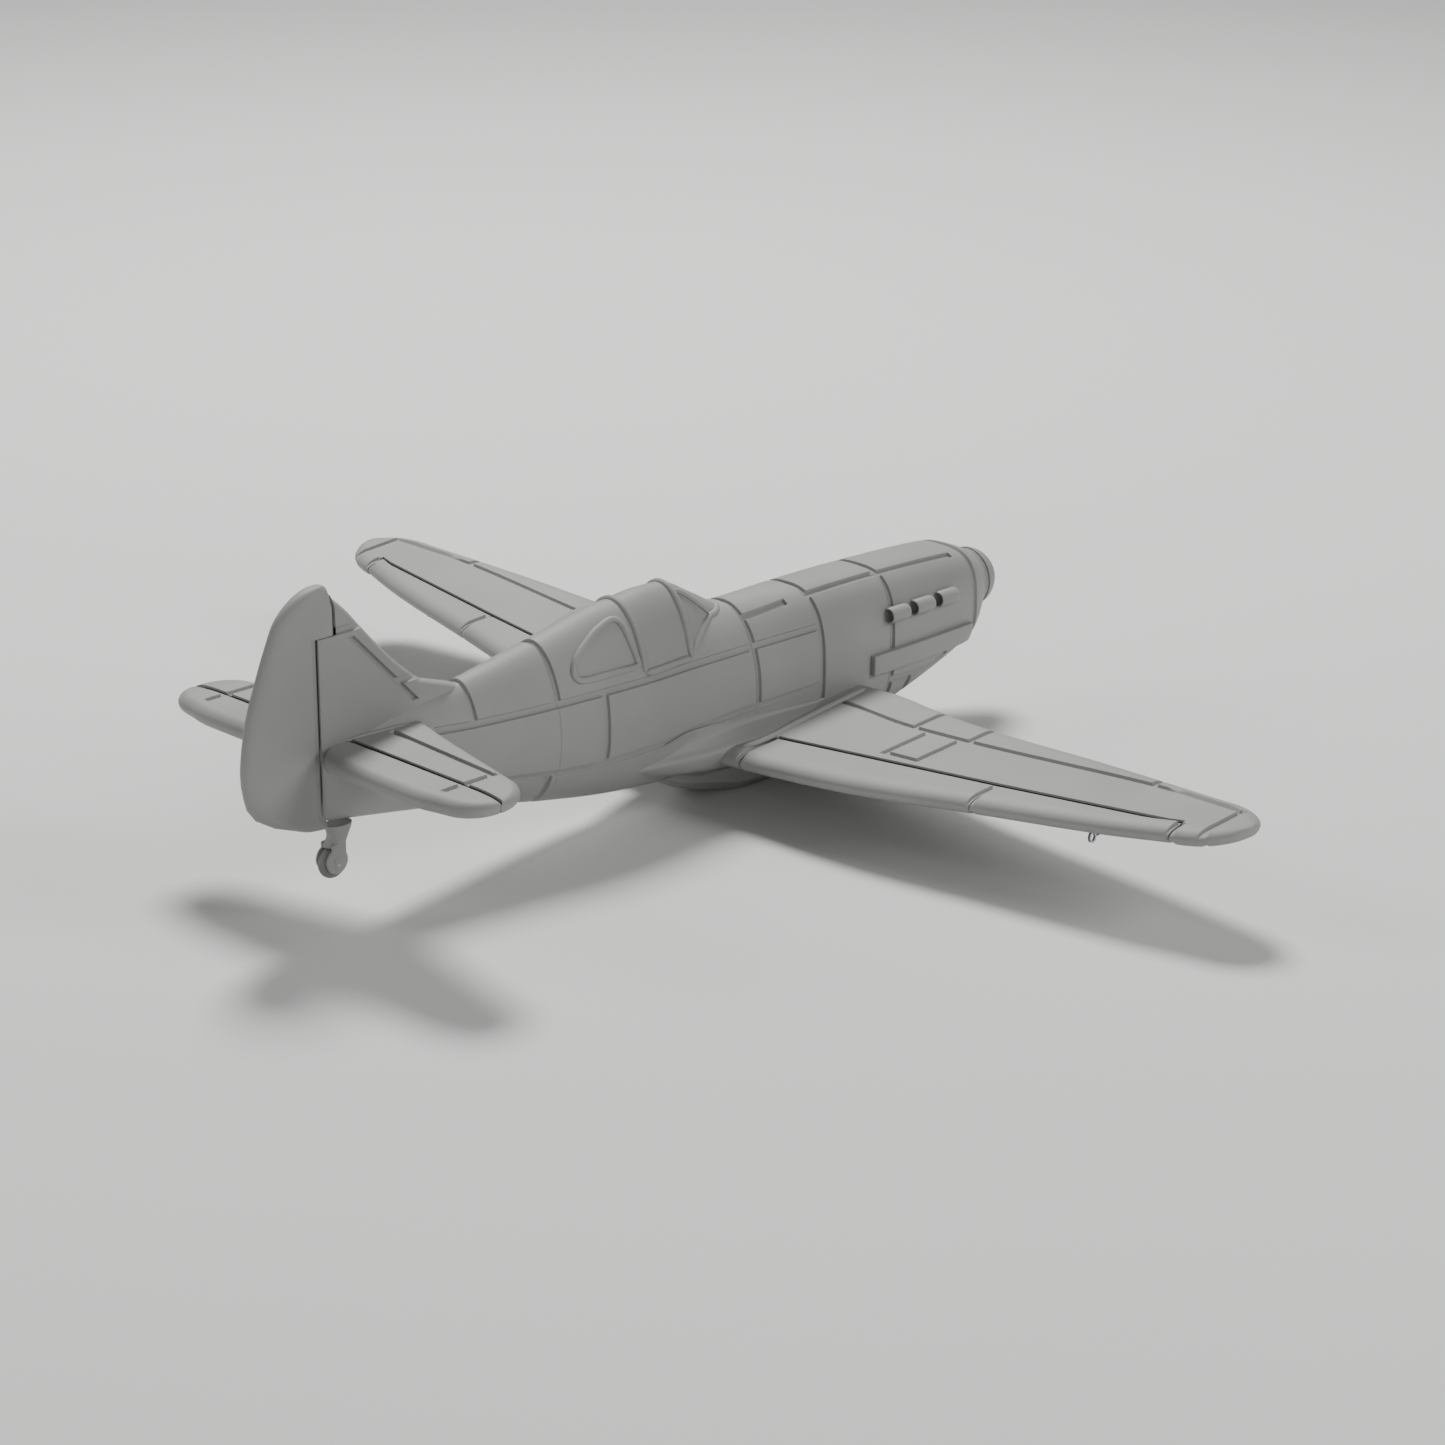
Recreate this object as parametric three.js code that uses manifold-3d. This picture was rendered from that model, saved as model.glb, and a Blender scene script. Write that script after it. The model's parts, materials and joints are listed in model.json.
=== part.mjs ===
// A micro radio-controlled warbird: low wing, far-back cockpit, liquid-cooled nose, all moulded shells.
// Millimetres. +X is the nose, +Y the port wing, +Z up. The origin is on the ground, under the middle.
import * as THREE from "three";
import { mergeVertices } from "three/addons/utils/BufferGeometryUtils.js";
import Module from "manifold-3d";

const wasm = await Module();
wasm.setup();

// ---------- Driving sizes ----------
const SPAN = 508; // wing tip to wing tip
const GLUE = 0.3; // joint gap between pieces that are glued or screwed together
const RUN = 0.5; // running gap round a moving piece
const WALL = 1.8; // wall of the moulded body shells

// Body stations along X, from the nose back
const SPINNER_TIP = 205;
const BACKPLATE_X = 192;
const COWL_JOINT = 174;
const RING_5 = 121;
const RING_4 = 79;
const RING_3 = 41.5;
const WINDSCREEN_FOOT = 36.5;
const ARCH_FRONT = 8;
const ARCH_REAR = -19;
const RING_2 = -63;
const RING_1 = -101.5;
const STERN = -170;
const HALF_WIDTH = 22.3; // widest half width of the body
const THRUST_Z = 54.5;
const SPINNER_RADIUS = 13;
const RAIL_Z = 66; // height of the canopy rail
const HULL_SIDES = 20;

// Wing
const HALF_SPAN = SPAN / 2;
const WING_TIP = 24; // length of the rounded tip
const WING_TOP_Z = 27.6; // top of the wing on the centre line at WING_DATUM_X
const WING_DATUM_X = 46;
const WING_INCIDENCE = 0.066; // rise per millimetre forward
const WING_DIHEDRAL = 0.059; // rise per millimetre outwards
const FLAP_ROOT = 36;
const FLAP_TIP = 147;
const AILERON_TIP_INSET = 24; // from the wing tip to the end of the aileron
const FLAP_TRAVEL = 40;
const AILERON_TRAVEL = 22;
const TAIL_TRAVEL = 25;
const SURFACE_GROOVE = 1.5; // half width of the groove above a hinge
const SURFACE_SHOULDER = 1; // depth of that groove
const RUDDER_HINGE = STERN - SURFACE_GROOVE;

// Tail
const TAILPLANE_TOP = 70.5;
const TAILPLANE_HALF_SPAN = 90;
const TAILPLANE_THICKNESS = 8.5;
const ELEVATOR_HINGE = STERN + 12.5;
const RUDDER_CHORD = 33.5; // from the rudder hinge to its trailing edge
const FIN_HALF = 4; // half thickness of the fin and rudder
const FIN_TOP = 132;
const FIN_FOOT = 60; // the fin stands on the body from here up
const HORN_Z = 112.5; // foot of the rudder's balance horn
const HORN_REACH = 8.5; // how far that horn reaches ahead of the hinge
const STERN_BOTTOM = 40;

// Tail wheel
const WHEEL_RADIUS = 6.2;
const WHEEL_WIDTH = 4.2;
const WHEEL_DROP = 18; // from the body to the wheel's axle
const LEG_X = STERN + 9.5; // the leg's steering axis
const WHEEL_TRAIL = 3.5; // how far the axle lies behind the steering axis
const WHEEL_X = LEG_X - WHEEL_TRAIL;
const AXLE_RADIUS = 0.8;
const CHEEK = 1.1; // thickness of each fork cheek

// Linkages
const SERVO = { length: 17, width: 7, height: 11, shaft: 2 };
const ARM_REACH = 9; // from a pivot to its pushrod eye
const ARM_THICK = 1.2;
const HUB_RADIUS = 2.5;
const TIP_RADIUS = 1.5;
const WIRE_RADIUS = 0.5;
const PIN_RADIUS = 0.6;
const EYE_RADIUS = 2.3;
const EYE_HOLE = 1.5;

// Power and radio
const MOTOR_RADIUS = 11;
const SHAFT_RADIUS = 1.5;
const BATTERY = { length: 37, width: 22, height: 13 };
const HATCH_HALF = 12; // half width of the battery hatch
const SPAR_RADIUS = 2;
const SCOOP_HALF = 16;

// ---------- Finishes ----------
const FINISH = {
  body: { color: "#8a8a88", roughness: 0.62, metalness: 0 },
  dark: { color: "#3a3b3d", roughness: 0.55, metalness: 0 },
  steel: { color: "#b9bcc0", roughness: 0.3, metalness: 1 },
  copper: { color: "#a8663a", roughness: 0.35, metalness: 1 },
  carbon: { color: "#232426", roughness: 0.4, metalness: 0 },
  battery: { color: "#2f5f8a", roughness: 0.35, metalness: 0 },
  board: { color: "#2c5a3c", roughness: 0.5, metalness: 0 },
  rubber: { color: "#2a2a2a", roughness: 0.8, metalness: 0 },
};

const aircraft = new THREE.Group();

function part(name, solid, finish) {
  const material = new THREE.MeshStandardMaterial(FINISH[finish]);
  const piece = new THREE.Mesh(geometryOf(solid), material);
  piece.name = name;
  aircraft.add(piece);
}

// ---------- Solids ----------
const at = (x, y, z) => new THREE.Vector3(x, y, z);
const rad = (degrees) => (degrees * Math.PI) / 180;

function solidFrom(points, faces) {
  const vertProperties = new Float32Array(points.flatMap((p) => [p.x, p.y, p.z]));
  const build = (list) =>
    new wasm.Manifold(
      new wasm.Mesh({ numProp: 3, vertProperties, triVerts: new Uint32Array(list) }),
    );
  const made = build(faces);
  return made.volume() < 0 ? build(faces.slice().reverse()) : made;
}

function solidOf(geometry) {
  const bare = geometry.clone();
  bare.deleteAttribute("normal");
  bare.deleteAttribute("uv");
  const merged = mergeVertices(bare, 1e-4);
  const place = merged.getAttribute("position");
  const points = Array.from({ length: place.count }, (_, i) =>
    new THREE.Vector3().fromBufferAttribute(place, i),
  );
  return solidFrom(points, Array.from(merged.index.array));
}

function geometryOf(solid) {
  const { numProp, vertProperties, triVerts } = solid.getMesh();
  const place = [];
  for (let i = 0; i < vertProperties.length; i += numProp)
    place.push(vertProperties[i], vertProperties[i + 1], vertProperties[i + 2]);
  const geometry = new THREE.BufferGeometry();
  geometry.setAttribute("position", new THREE.Float32BufferAttribute(place, 3));
  geometry.setIndex(Array.from(triVerts));
  geometry.computeVertexNormals();
  return geometry;
}

// A closed solid through rings of equally many points, with a fan over each end.
function loft(rings) {
  const n = rings[0].length;
  const points = rings.flat();
  const faces = [];
  for (let i = 0; i + 1 < rings.length; i++)
    for (let j = 0; j < n; j++) {
      const a = i * n + j;
      const b = i * n + ((j + 1) % n);
      faces.push(a, b, b + n, a, b + n, a + n);
    }
  for (const [row, side] of [[0, 1], [rings.length - 1, -1]]) {
    const middle = points.length;
    points.push(rings[row].reduce((s, p) => s.add(p), at(0, 0, 0)).divideScalar(n));
    for (let j = 0; j < n; j++) {
      const a = row * n + j;
      const b = row * n + ((j + 1) % n);
      faces.push(...(side > 0 ? [middle, b, a] : [middle, a, b]));
    }
  }
  return solidFrom(points, faces);
}

function block(x0, x1, y0, y1, z0, z1) {
  const box = new THREE.BoxGeometry(x1 - x0, y1 - y0, z1 - z0);
  return solidOf(box.translate((x0 + x1) / 2, (y0 + y1) / 2, (z0 + z1) / 2));
}

// A round bar between two points, with a radius at each.
function bar(from, to, radius, sides = 16, radiusTo = radius) {
  const run = to.clone().sub(from);
  const shape = new THREE.CylinderGeometry(radiusTo, radius, run.length(), sides);
  const turn = new THREE.Quaternion().setFromUnitVectors(at(0, 1, 0), run.clone().normalize());
  shape.applyQuaternion(turn);
  const middle = from.clone().add(to).multiplyScalar(0.5);
  return solidOf(shape.translate(middle.x, middle.y, middle.z));
}

// An outline in a plane, made into a plate: place(u, v, w) puts its corners in space.
function plate(outline, w0, w1, place) {
  return loft([w0, w1].map((w) => outline.map(([u, v]) => place(u, v, w))));
}

const cut = (solid, ...others) => others.reduce((s, o) => s.subtract(o), solid);
const join = (solid, ...others) => others.reduce((s, o) => s.add(o), solid);

// The same solid on the other side of the aircraft.
function mirrored(solid) {
  const geometry = geometryOf(solid).applyMatrix4(new THREE.Matrix4().makeScale(1, -1, 1));
  return solidOf(geometry);
}

// A smooth line through [x, value] pairs, level where the pairs turn back.
function smooth(pairs) {
  const rows = pairs.slice().sort((a, b) => a[0] - b[0]);
  const slope = rows.slice(1).map(([x, y], i) => (y - rows[i][1]) / (x - rows[i][0]));
  const tangent = rows.map((_, i) => {
    if (i === 0) return slope[0];
    if (i === rows.length - 1) return slope[i - 1];
    const [a, b] = [slope[i - 1], slope[i]];
    return a * b <= 0 ? 0 : (2 * a * b) / (a + b);
  });
  return (x) => {
    if (x <= rows[0][0]) return rows[0][1];
    const i = rows.findIndex((row) => row[0] >= x) - 1;
    if (i < 0) return rows[rows.length - 1][1];
    const [[xa, ya], [xb, yb]] = [rows[i], rows[i + 1]];
    const w = xb - xa;
    const t = (x - xa) / w;
    const rise = (1 + 2 * t) * (1 - t) ** 2 * ya + t * t * (3 - 2 * t) * yb;
    return rise + w * t * (1 - t) * ((1 - t) * tangent[i] - t * tangent[i + 1]);
  };
}

function spread(from, to, step) {
  const count = Math.max(1, Math.round(Math.abs(to - from) / step));
  return Array.from({ length: count + 1 }, (_, i) => from + ((to - from) * i) / count);
}

// ---------- Body ----------
const hull = {
  half: smooth([
    [STERN, FIN_HALF], [(STERN + RING_1) / 2, 8], [RING_1, 13], [RING_2, 18], [ARCH_REAR, 21],
    [RING_3, HALF_WIDTH], [RING_5, HALF_WIDTH - 0.2], [COWL_JOINT, HALF_WIDTH - 1.6],
    [BACKPLATE_X - 2, SPINNER_RADIUS],
  ]),
  top: smooth([
    [STERN, 72], [(STERN + RING_1) / 2, 76], [RING_1, 79], [RING_2, 85.5], [ARCH_REAR, 92.5],
    [ARCH_FRONT, 80], [RING_3, 78.5], [RING_4, 77.5], [RING_5, 76.3], [COWL_JOINT, 73.5],
    [BACKPLATE_X - 2, THRUST_Z + SPINNER_RADIUS],
  ]),
  widest: smooth([
    [STERN, 55], [RING_1, 52], [ARCH_REAR, 46], [RING_3, 44], [RING_5, 46], [COWL_JOINT, 50],
    [BACKPLATE_X - 2, THRUST_Z],
  ]),
  bottom: smooth([
    [STERN, STERN_BOTTOM], [RING_1, 28.5], [RING_2, 19.5], [ARCH_REAR, 12.5], [RING_3, 8.5],
    [RING_4, 9], [RING_5, 13.5], [150, 21.5], [COWL_JOINT, 31], [BACKPLATE_X - 2, THRUST_Z - SPINNER_RADIUS],
  ]),
  power: smooth([
    [STERN, 2.2], [RING_1, 2], [ARCH_REAR, 2], [RING_3, 2.1], [RING_4, 2.6], [RING_5, 3],
    [COWL_JOINT, 3], [BACKPLATE_X - 2, 2],
  ]),
};
const canopyTop = smooth([
  [ARCH_REAR, 92.5], [-4, 94], [ARCH_FRONT, 93.6], [22, 87], [WINDSCREEN_FOOT, 78.6],
]);

function ring(x, grow, top) {
  return Array.from({ length: HULL_SIDES }, (_, i) => {
    const angle = (2 * Math.PI * (i + 0.5)) / HULL_SIDES;
    const [c, s] = [Math.cos(angle), Math.sin(angle)];
    const power = 2 / hull.power(x);
    const rise = s > 0 ? top(x) + grow - hull.widest(x) : hull.widest(x) - hull.bottom(x) + grow;
    const y = (hull.half(x) + grow) * Math.sign(c) * Math.abs(c) ** power;
    return at(x, y, hull.widest(x) + rise * Math.sign(s) * Math.abs(s) ** power);
  });
}

function hullSolid(from, to, grow = 0, top = hull.top, step = 15) {
  return loft(spread(from, to, step).map((x) => ring(x, grow, top)));
}

function hullShell(from, to, top = hull.top) {
  const hole = spread(from, to, 15).map((x) => ring(x, -WALL, top));
  const reach = at(WALL, 0, 0);
  hole.unshift(hole[0].map((p) => p.clone().sub(reach)));
  hole.push(hole[hole.length - 1].map((p) => p.clone().add(reach)));
  return cut(hullSolid(from, to, 0, top), loft(hole));
}

const bodyWithGap = hullSolid(STERN, COWL_JOINT, GLUE);

// ---------- Lifting surfaces ----------
// A rounded slab of a wing: its section is flat above and below, with a half ellipse fore and aft.
const NOSE_STEPS = 3;

function slabSection(y, surface) {
  const [front, rear] = [surface.front(y), surface.rear(y)];
  const noseLong = Math.min(surface.noseLength, (front - rear) / 2.5);
  const tailLong = Math.min(surface.tailLength, (front - rear) / 2.5);
  const stops = [];
  for (let i = 0; i <= NOSE_STEPS; i++) stops.push([front - noseLong, noseLong, i / NOSE_STEPS]);
  for (let i = NOSE_STEPS; i >= 0; i--) stops.push([rear + tailLong, -tailLong, i / NOSE_STEPS]);
  const upper = stops.map(([centre, reach, share]) => {
    const angle = (share * Math.PI) / 2;
    const x = centre + reach * Math.sin(angle);
    return [x, Math.cos(angle), centre];
  });
  const height = (x) => surface.thick(x, y) / 2;
  const middle = (x) => surface.top(x, y) - height(x);
  const over = upper.map(([x, c, centre]) => at(x, y, middle(x) + height(centre) * c));
  const under = upper.map(([x, c, centre]) => at(x, y, middle(x) - height(centre) * c));
  const nose = over[NOSE_STEPS];
  const tail = over[NOSE_STEPS + 1];
  const topRun = [...over.slice(0, NOSE_STEPS).reverse()];
  return [
    nose, ...topRun, ...over.slice(NOSE_STEPS + 2).reverse(), tail,
    ...under.slice(NOSE_STEPS + 2), ...under.slice(0, NOSE_STEPS),
  ];
}

// The straight part of a surface and its rounded tip, from y0 outwards.
function slab(surface, y0, step) {
  const tipStart = surface.halfSpan - surface.tip;
  const tipStops = [0.35, 0.6, 0.8, 0.92, 0.98].map((share) => tipStart + surface.tip * share);
  const stops = [...spread(y0, tipStart, step), ...tipStops];
  return loft(stops.map((y) => slabSection(y, surface)));
}

// How far an edge draws in towards the middle of the tip, from 0 to 1.
const tipShare = (surface, y) => {
  const t = Math.max(0, (y - surface.halfSpan + surface.tip) / surface.tip);
  return Math.sqrt(1 - Math.min(1, t) ** 2);
};

function surfaceOf({ halfSpan, tip, lead, trail, tipX, top, thickAt, noseLength, tailLength }) {
  const surface = { halfSpan, tip, top, noseLength, tailLength };
  surface.front = (y) => tipX + (lead(y) - tipX) * tipShare(surface, y);
  surface.rear = (y) => tipX + (trail(y) - tipX) * tipShare(surface, y);
  surface.thick = (x, y) => {
    const share = (x - surface.rear(y)) / Math.max(1, surface.front(y) - surface.rear(y));
    return thickAt(y, Math.min(1, Math.max(0, share))) * Math.max(0.25, tipShare(surface, y)) ** 0.5;
  };
  return surface;
}

const wingTop = (x, y) =>
  WING_TOP_Z + WING_INCIDENCE * (x - WING_DATUM_X) + WING_DIHEDRAL * y;
const WING_TIP_START = HALF_SPAN - WING_TIP;
const wingSurface = surfaceOf({
  halfSpan: HALF_SPAN,
  tip: WING_TIP,
  lead: smooth([[0, 108], [36, 107], [75, 99.5], [108, 95], [163, 91.5], [WING_TIP_START, 85]]),
  trail: smooth([[0, 15.8], [40, 15.8], [81, 18], [150, 30], [204, 40], [WING_TIP_START, 47]]),
  tipX: 68,
  top: wingTop,
  thickAt: (y, share) => {
    const out = y / HALF_SPAN;
    return (8.6 - 1.2 * out) * (1 - share) + (14.5 - 5 * out) * share;
  },
  noseLength: 8,
  tailLength: 8,
});
const wingHinge = smooth([[0, 36], [32, 37.9], [FLAP_TIP, 46.4], [WING_TIP_START, 54]]);

const elevatorAxis = TAILPLANE_TOP - TAILPLANE_THICKNESS / 2;
const tailSurface = surfaceOf({
  halfSpan: TAILPLANE_HALF_SPAN,
  tip: 16,
  lead: smooth([[0, STERN + 51], [6, STERN + 48], [74, STERN + 31]]),
  trail: smooth([[0, STERN - 3], [24, STERN - 5.5], [60, STERN - 5.5], [74, STERN - 3]]),
  tipX: STERN + 12,
  top: (x, y) => elevatorAxis + tailSurface.thick(x, y) / 2,
  thickAt: (y) => TAILPLANE_THICKNESS - 0.012 * y,
  noseLength: 7,
  tailLength: 5,
});

function hingePoint(surface, hinge, y) {
  const x = hinge(y);
  return at(x, y, surface.top(x, y) - surface.thick(x, y) / 2);
}

// A block behind the hinge line, from z0 to z1 measured from the hinge.
function behindHinge(surface, hinge, [y0, y1], setback, z0, z1) {
  const depth = 90;
  return loft([y0, y1].map((y) => {
    const p = hingePoint(surface, hinge, y);
    const edge = p.x - setback;
    return [
      at(edge, y, p.z + z0), at(edge, y, p.z + z1),
      at(edge - depth, y, p.z + z1), at(edge - depth, y, p.z + z0),
    ];
  }));
}

function hingeNose(surface, hinge, [y0, y1], grow) {
  const ends = [y0, y1].map((y) => hingePoint(surface, hinge, y));
  const radius = ends.map((p) => surface.thick(p.x, p.y) / 2 - SURFACE_SHOULDER + grow);
  return bar(ends[0], ends[1], radius[0], 16, radius[1]);
}

// What is cut from the fixed surface to make room for a moving one.
function surfaceRoom(surface, hinge, span) {
  return join(
    behindHinge(surface, hinge, span, -SURFACE_GROOVE, -30, 30),
    hingeNose(surface, hinge, span, RUN),
  );
}

// The moving surface itself: a round nose about the hinge and the body behind its shoulders.
function movingSurface(full, surface, hinge, span, travelDown) {
  const inside = [span[0] + 2 * RUN, span[1] - 2 * RUN];
  const half = surface.thick(hinge(span[0]), span[0]) / 2;
  const below = SURFACE_GROOVE + half * Math.max(0, Math.sin(rad(travelDown)) - 0.37);
  const envelope = join(
    behindHinge(surface, hinge, inside, SURFACE_GROOVE, 0, 30),
    behindHinge(surface, hinge, inside, below, -30, 0),
    hingeNose(surface, hinge, inside, 0),
  );
  return full.intersect(envelope);
}

// ---------- Linkages ----------
// Each linkage is a parallelogram in its own frame: along the rod, along the pivots, and square to both.
// The arm and the horn are alike, and the rod's eyes fit loosely on their pins.
function linkageFrame(origin, pivotAxis, rodAxis) {
  const h = pivotAxis.clone().normalize();
  const c = rodAxis.clone().addScaledVector(h, -rodAxis.dot(h)).normalize();
  const n = h.clone().cross(c);
  return (u, w, v) =>
    origin.clone().addScaledVector(c, u).addScaledVector(h, w).addScaledVector(n, v);
}

// An arm from its pivot at [u, v] to its pin, leaning by tilt. It lies between w and w + ARM_THICK.
function armWithPin(place, [u, v], w, tilt, side) {
  const tip = [u + ARM_REACH * Math.sin(tilt), v + side * ARM_REACH * Math.cos(tilt)];
  const outline = [];
  for (const [[x, y], radius, start] of [[[u, v], HUB_RADIUS, 0], [tip, TIP_RADIUS, 1]])
    for (let i = 0; i < 6; i++) {
      const a = Math.PI * (start + i / 5);
      outline.push([x + radius * Math.cos(a), y - side * radius * Math.sin(a)]);
    }
  const arm = plate(outline, w, w + ARM_THICK, (a, b, c) => place(a, c, b));
  const ends = [w + ARM_THICK / 2, w + ARM_THICK + 2].map((c) => place(tip[0], c, tip[1]));
  return { solid: join(arm, bar(...ends, PIN_RADIUS, 8)), tip };
}

// A wire with an eye at each end, beside the pins at the two tips.
function pushrod(place, from, to, w) {
  const eyeThick = 1;
  const [w0, w1] = [w, w + eyeThick];
  const middle = (w0 + w1) / 2;
  const wire = bar(place(from[0], middle, from[1]), place(to[0], middle, to[1]), WIRE_RADIUS, 8);
  const eyes = [from, to].map(([u, v]) =>
    bar(place(u, w0, v), place(u, w1, v), EYE_RADIUS, 8));
  const holes = [from, to].map(([u, v]) =>
    bar(place(u, w0 - 1, v), place(u, w1 + 1, v), EYE_HOLE, 8));
  return cut(join(wire, ...eyes), ...holes);
}

// A servo with its shaft along the pivots, beside its arm.
function servo(place, [u, v], w) {
  const { length, width, height, shaft } = SERVO;
  const ends = [u + width / 2, u + width / 2 - length];
  const half = width / 2;
  const outline = [[ends[0], v - half], [ends[1], v - half], [ends[1], v + half], [ends[0], v + half]];
  const body = plate(outline, w - shaft - height, w - shaft, (a, b, c) => place(a, c, b));
  return join(body, bar(place(u, w - shaft - 1, v), place(u, w - GLUE, v), 2, 12));
}

const AILERON_TIP = HALF_SPAN - AILERON_TIP_INSET;
const FLAP_SPAN = [FLAP_ROOT, FLAP_TIP];
const AILERON_SPAN = [FLAP_TIP, AILERON_TIP];
const WING_LINKS = {
  flap: { span: FLAP_SPAN, share: 0.25, forward: 27, tilt: -rad(FLAP_TRAVEL / 2) },
  aileron: { span: AILERON_SPAN, share: 0.5, forward: 26, tilt: 0 },
};

// Everything of one wing control's linkage, on the port side. The horn is joined to the surface.
function wingLink({ span, share, forward, tilt }) {
  const [inner, outer] = span.map((y) => hingePoint(wingSurface, wingHinge, y));
  const pivot = inner.clone().lerp(outer, share);
  const spanwise = outer.clone().sub(inner).normalize();
  const place = linkageFrame(pivot, spanwise, at(1, 0, 0));
  const down = 1;
  const horn = armWithPin(place, [0, 0], 0, tilt, down);
  const arm = armWithPin(place, [forward, 0], 0, tilt, down);
  const rod = pushrod(place, horn.tip, arm.tip, ARM_THICK + GLUE);
  const shell = (u0, u1, v0, w0, w1) => plate(
    [[u0, v0], [u1, v0], [u1, 20], [u0, 20]], w0, w1, (a, b, c) => place(a, c, b));
  const rear = forward + SERVO.width / 2 - SERVO.length - GLUE;
  const swing = HUB_RADIUS + ARM_REACH * Math.sin(rad(AILERON_TRAVEL));
  const openings = [
    shell(rear, forward + SERVO.width / 2 + GLUE, -SERVO.width / 2 - GLUE,
      -SERVO.shaft - SERVO.height - GLUE, -SERVO.shaft + GLUE),
    shell(forward - swing, forward + HUB_RADIUS + swing / 2, -HUB_RADIUS - RUN,
      -SERVO.shaft, ARM_THICK + 3),
    shell(-swing, swing, -1, -RUN, ARM_THICK + 3),
  ];
  return {
    horn: horn.solid, arm: arm.solid, rod, servo: servo(place, [forward, 0], 0), openings,
  };
}

// ---------- Wings ----------
// The fairing between the body and the wing: it widens from a point aft of the wing.
function rootFairing() {
  const reach = smooth([[-30, 12], [-5, 22], [12, 29], [25, 32], [60, 30.5], [95, 28.5], [112, 20]]);
  const rise = smooth([[-30, 27], [0, 33], [38, 37], [75, 38], [112, 34]]);
  const low = smooth([[-30, 20], [0, 16], [30, 16], [112, 20]]);
  return loft(spread(-30, 112, 18).map((x) => {
    const [y1, z0, z1] = [reach(x), low(x), rise(x)];
    const zs = wingTop(x, y1) - 1;
    return [
      at(x, 4, z0), at(x, y1 - 6, z0), at(x, y1, Math.max(z0 + 2, Math.min(zs, z1 - 2))),
      at(x, y1 - 3, Math.max(z0 + 3, Math.min(zs + 1.6, z1 - 1))), at(x, Math.min(19, y1 - 4), z1),
      at(x, 4, z1),
    ];
  }));
}

function gunPanel(grow) {
  const [x0, x1, y0, y1] = [48.5 - grow, 74 + grow, 86 - grow, 101 + grow];
  const [under, over] = [-1.6 - grow, 3 * Math.sign(grow)];
  const corners = [[y0, under], [y1, under], [y1, over], [y0, over]];
  return loft([x0, x1].map((x) => corners.map(([y, dz]) => at(x, y, wingTop(x, y) + dz))));
}

function makeWing() {
  const full = slab(wingSurface, 6, 22);
  const links = { flap: wingLink(WING_LINKS.flap), aileron: wingLink(WING_LINKS.aileron) };
  const wing = cut(
    join(full, rootFairing()),
    surfaceRoom(wingSurface, wingHinge, FLAP_SPAN),
    surfaceRoom(wingSurface, wingHinge, AILERON_SPAN),
    ...links.flap.openings, ...links.aileron.openings, bodyWithGap, sparHole,
  );
  const flap = join(
    movingSurface(full, wingSurface, wingHinge, FLAP_SPAN, FLAP_TRAVEL), links.flap.horn,
  );
  const aileron = join(
    movingSurface(full, wingSurface, wingHinge, AILERON_SPAN, AILERON_TRAVEL), links.aileron.horn,
  );
  return { wing, flap, aileron, links };
}


// ---------- Tail surfaces ----------
// The fin and rudder are one upright slab, parted at the rudder's hinge.
const uprightSurface = surfaceOf({
  halfSpan: FIN_TOP,
  tip: 14,
  lead: smooth([
    [STERN_BOTTOM, STERN + 72], [76, STERN + 70], [80, STERN + 64], [81.5, STERN + 57],
    [84.5, STERN + 50.5], [126, STERN + 10],
  ]),
  trail: smooth([
    [STERN_BOTTOM, RUDDER_HINGE - RUDDER_CHORD + 27], [43, RUDDER_HINGE - RUDDER_CHORD + 14],
    [47, RUDDER_HINGE - RUDDER_CHORD + 7], [54, RUDDER_HINGE - RUDDER_CHORD + 2],
    [66, RUDDER_HINGE - RUDDER_CHORD], [83, RUDDER_HINGE - RUDDER_CHORD + 2.5],
    [102, RUDDER_HINGE - RUDDER_CHORD + 9], [118, RUDDER_HINGE - RUDDER_CHORD + 16.5],
    [130, RUDDER_HINGE - RUDDER_CHORD + 24],
  ]),
  tipX: STERN + 4,
  top: (x, y) => uprightSurface.thick(x, y) / 2,
  thickAt: () => 2 * FIN_HALF,
  noseLength: 5,
  tailLength: 9,
});

function makeFinAndRudder(horn, joinerHole) {
  const upright = new THREE.Matrix4().makeRotationX(Math.PI / 2);
  const lying = geometryOf(slab(uprightSurface, STERN_BOTTOM, 7));
  const full = solidOf(lying.applyMatrix4(upright));
  const radius = FIN_HALF - SURFACE_SHOULDER;
  const axis = (z) => at(RUDDER_HINGE, 0, z);
  const hornFront = RUDDER_HINGE + HORN_REACH;
  const rudderShape = join(
    block(RUDDER_HINGE - 90, RUDDER_HINGE - SURFACE_GROOVE, -9, 9, 0, HORN_Z + 1),
    block(RUDDER_HINGE - 90, hornFront, -9, 9, HORN_Z, FIN_TOP + 9),
    bar(axis(STERN_BOTTOM + 1), axis(HORN_Z + 1), radius, 16),
  );
  const room = join(
    block(RUDDER_HINGE - 90, STERN, -9, 9, 0, HORN_Z),
    block(RUDDER_HINGE - 90, hornFront + 3 * RUN, -9, 9, HORN_Z - 2 * RUN, FIN_TOP + 9),
    bar(axis(0), axis(HORN_Z), radius + RUN, 16),
  );
  part("rudder", join(full.intersect(rudderShape), horn), "body");
  const foot = block(STERN - 90, 0, -9, 9, 0, FIN_FOOT);
  const fin = cut(full, room, bodyWithGap, foot, joinerHole);
  part("fin", fin, "body");
}

const ELEVATOR_ROOT = 6;
const JOINER_RADIUS = 1.2;
const joiner = (grow) => bar(
  at(ELEVATOR_HINGE, -22, elevatorAxis), at(ELEVATOR_HINGE, 22, elevatorAxis),
  JOINER_RADIUS + grow, 12,
);

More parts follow.
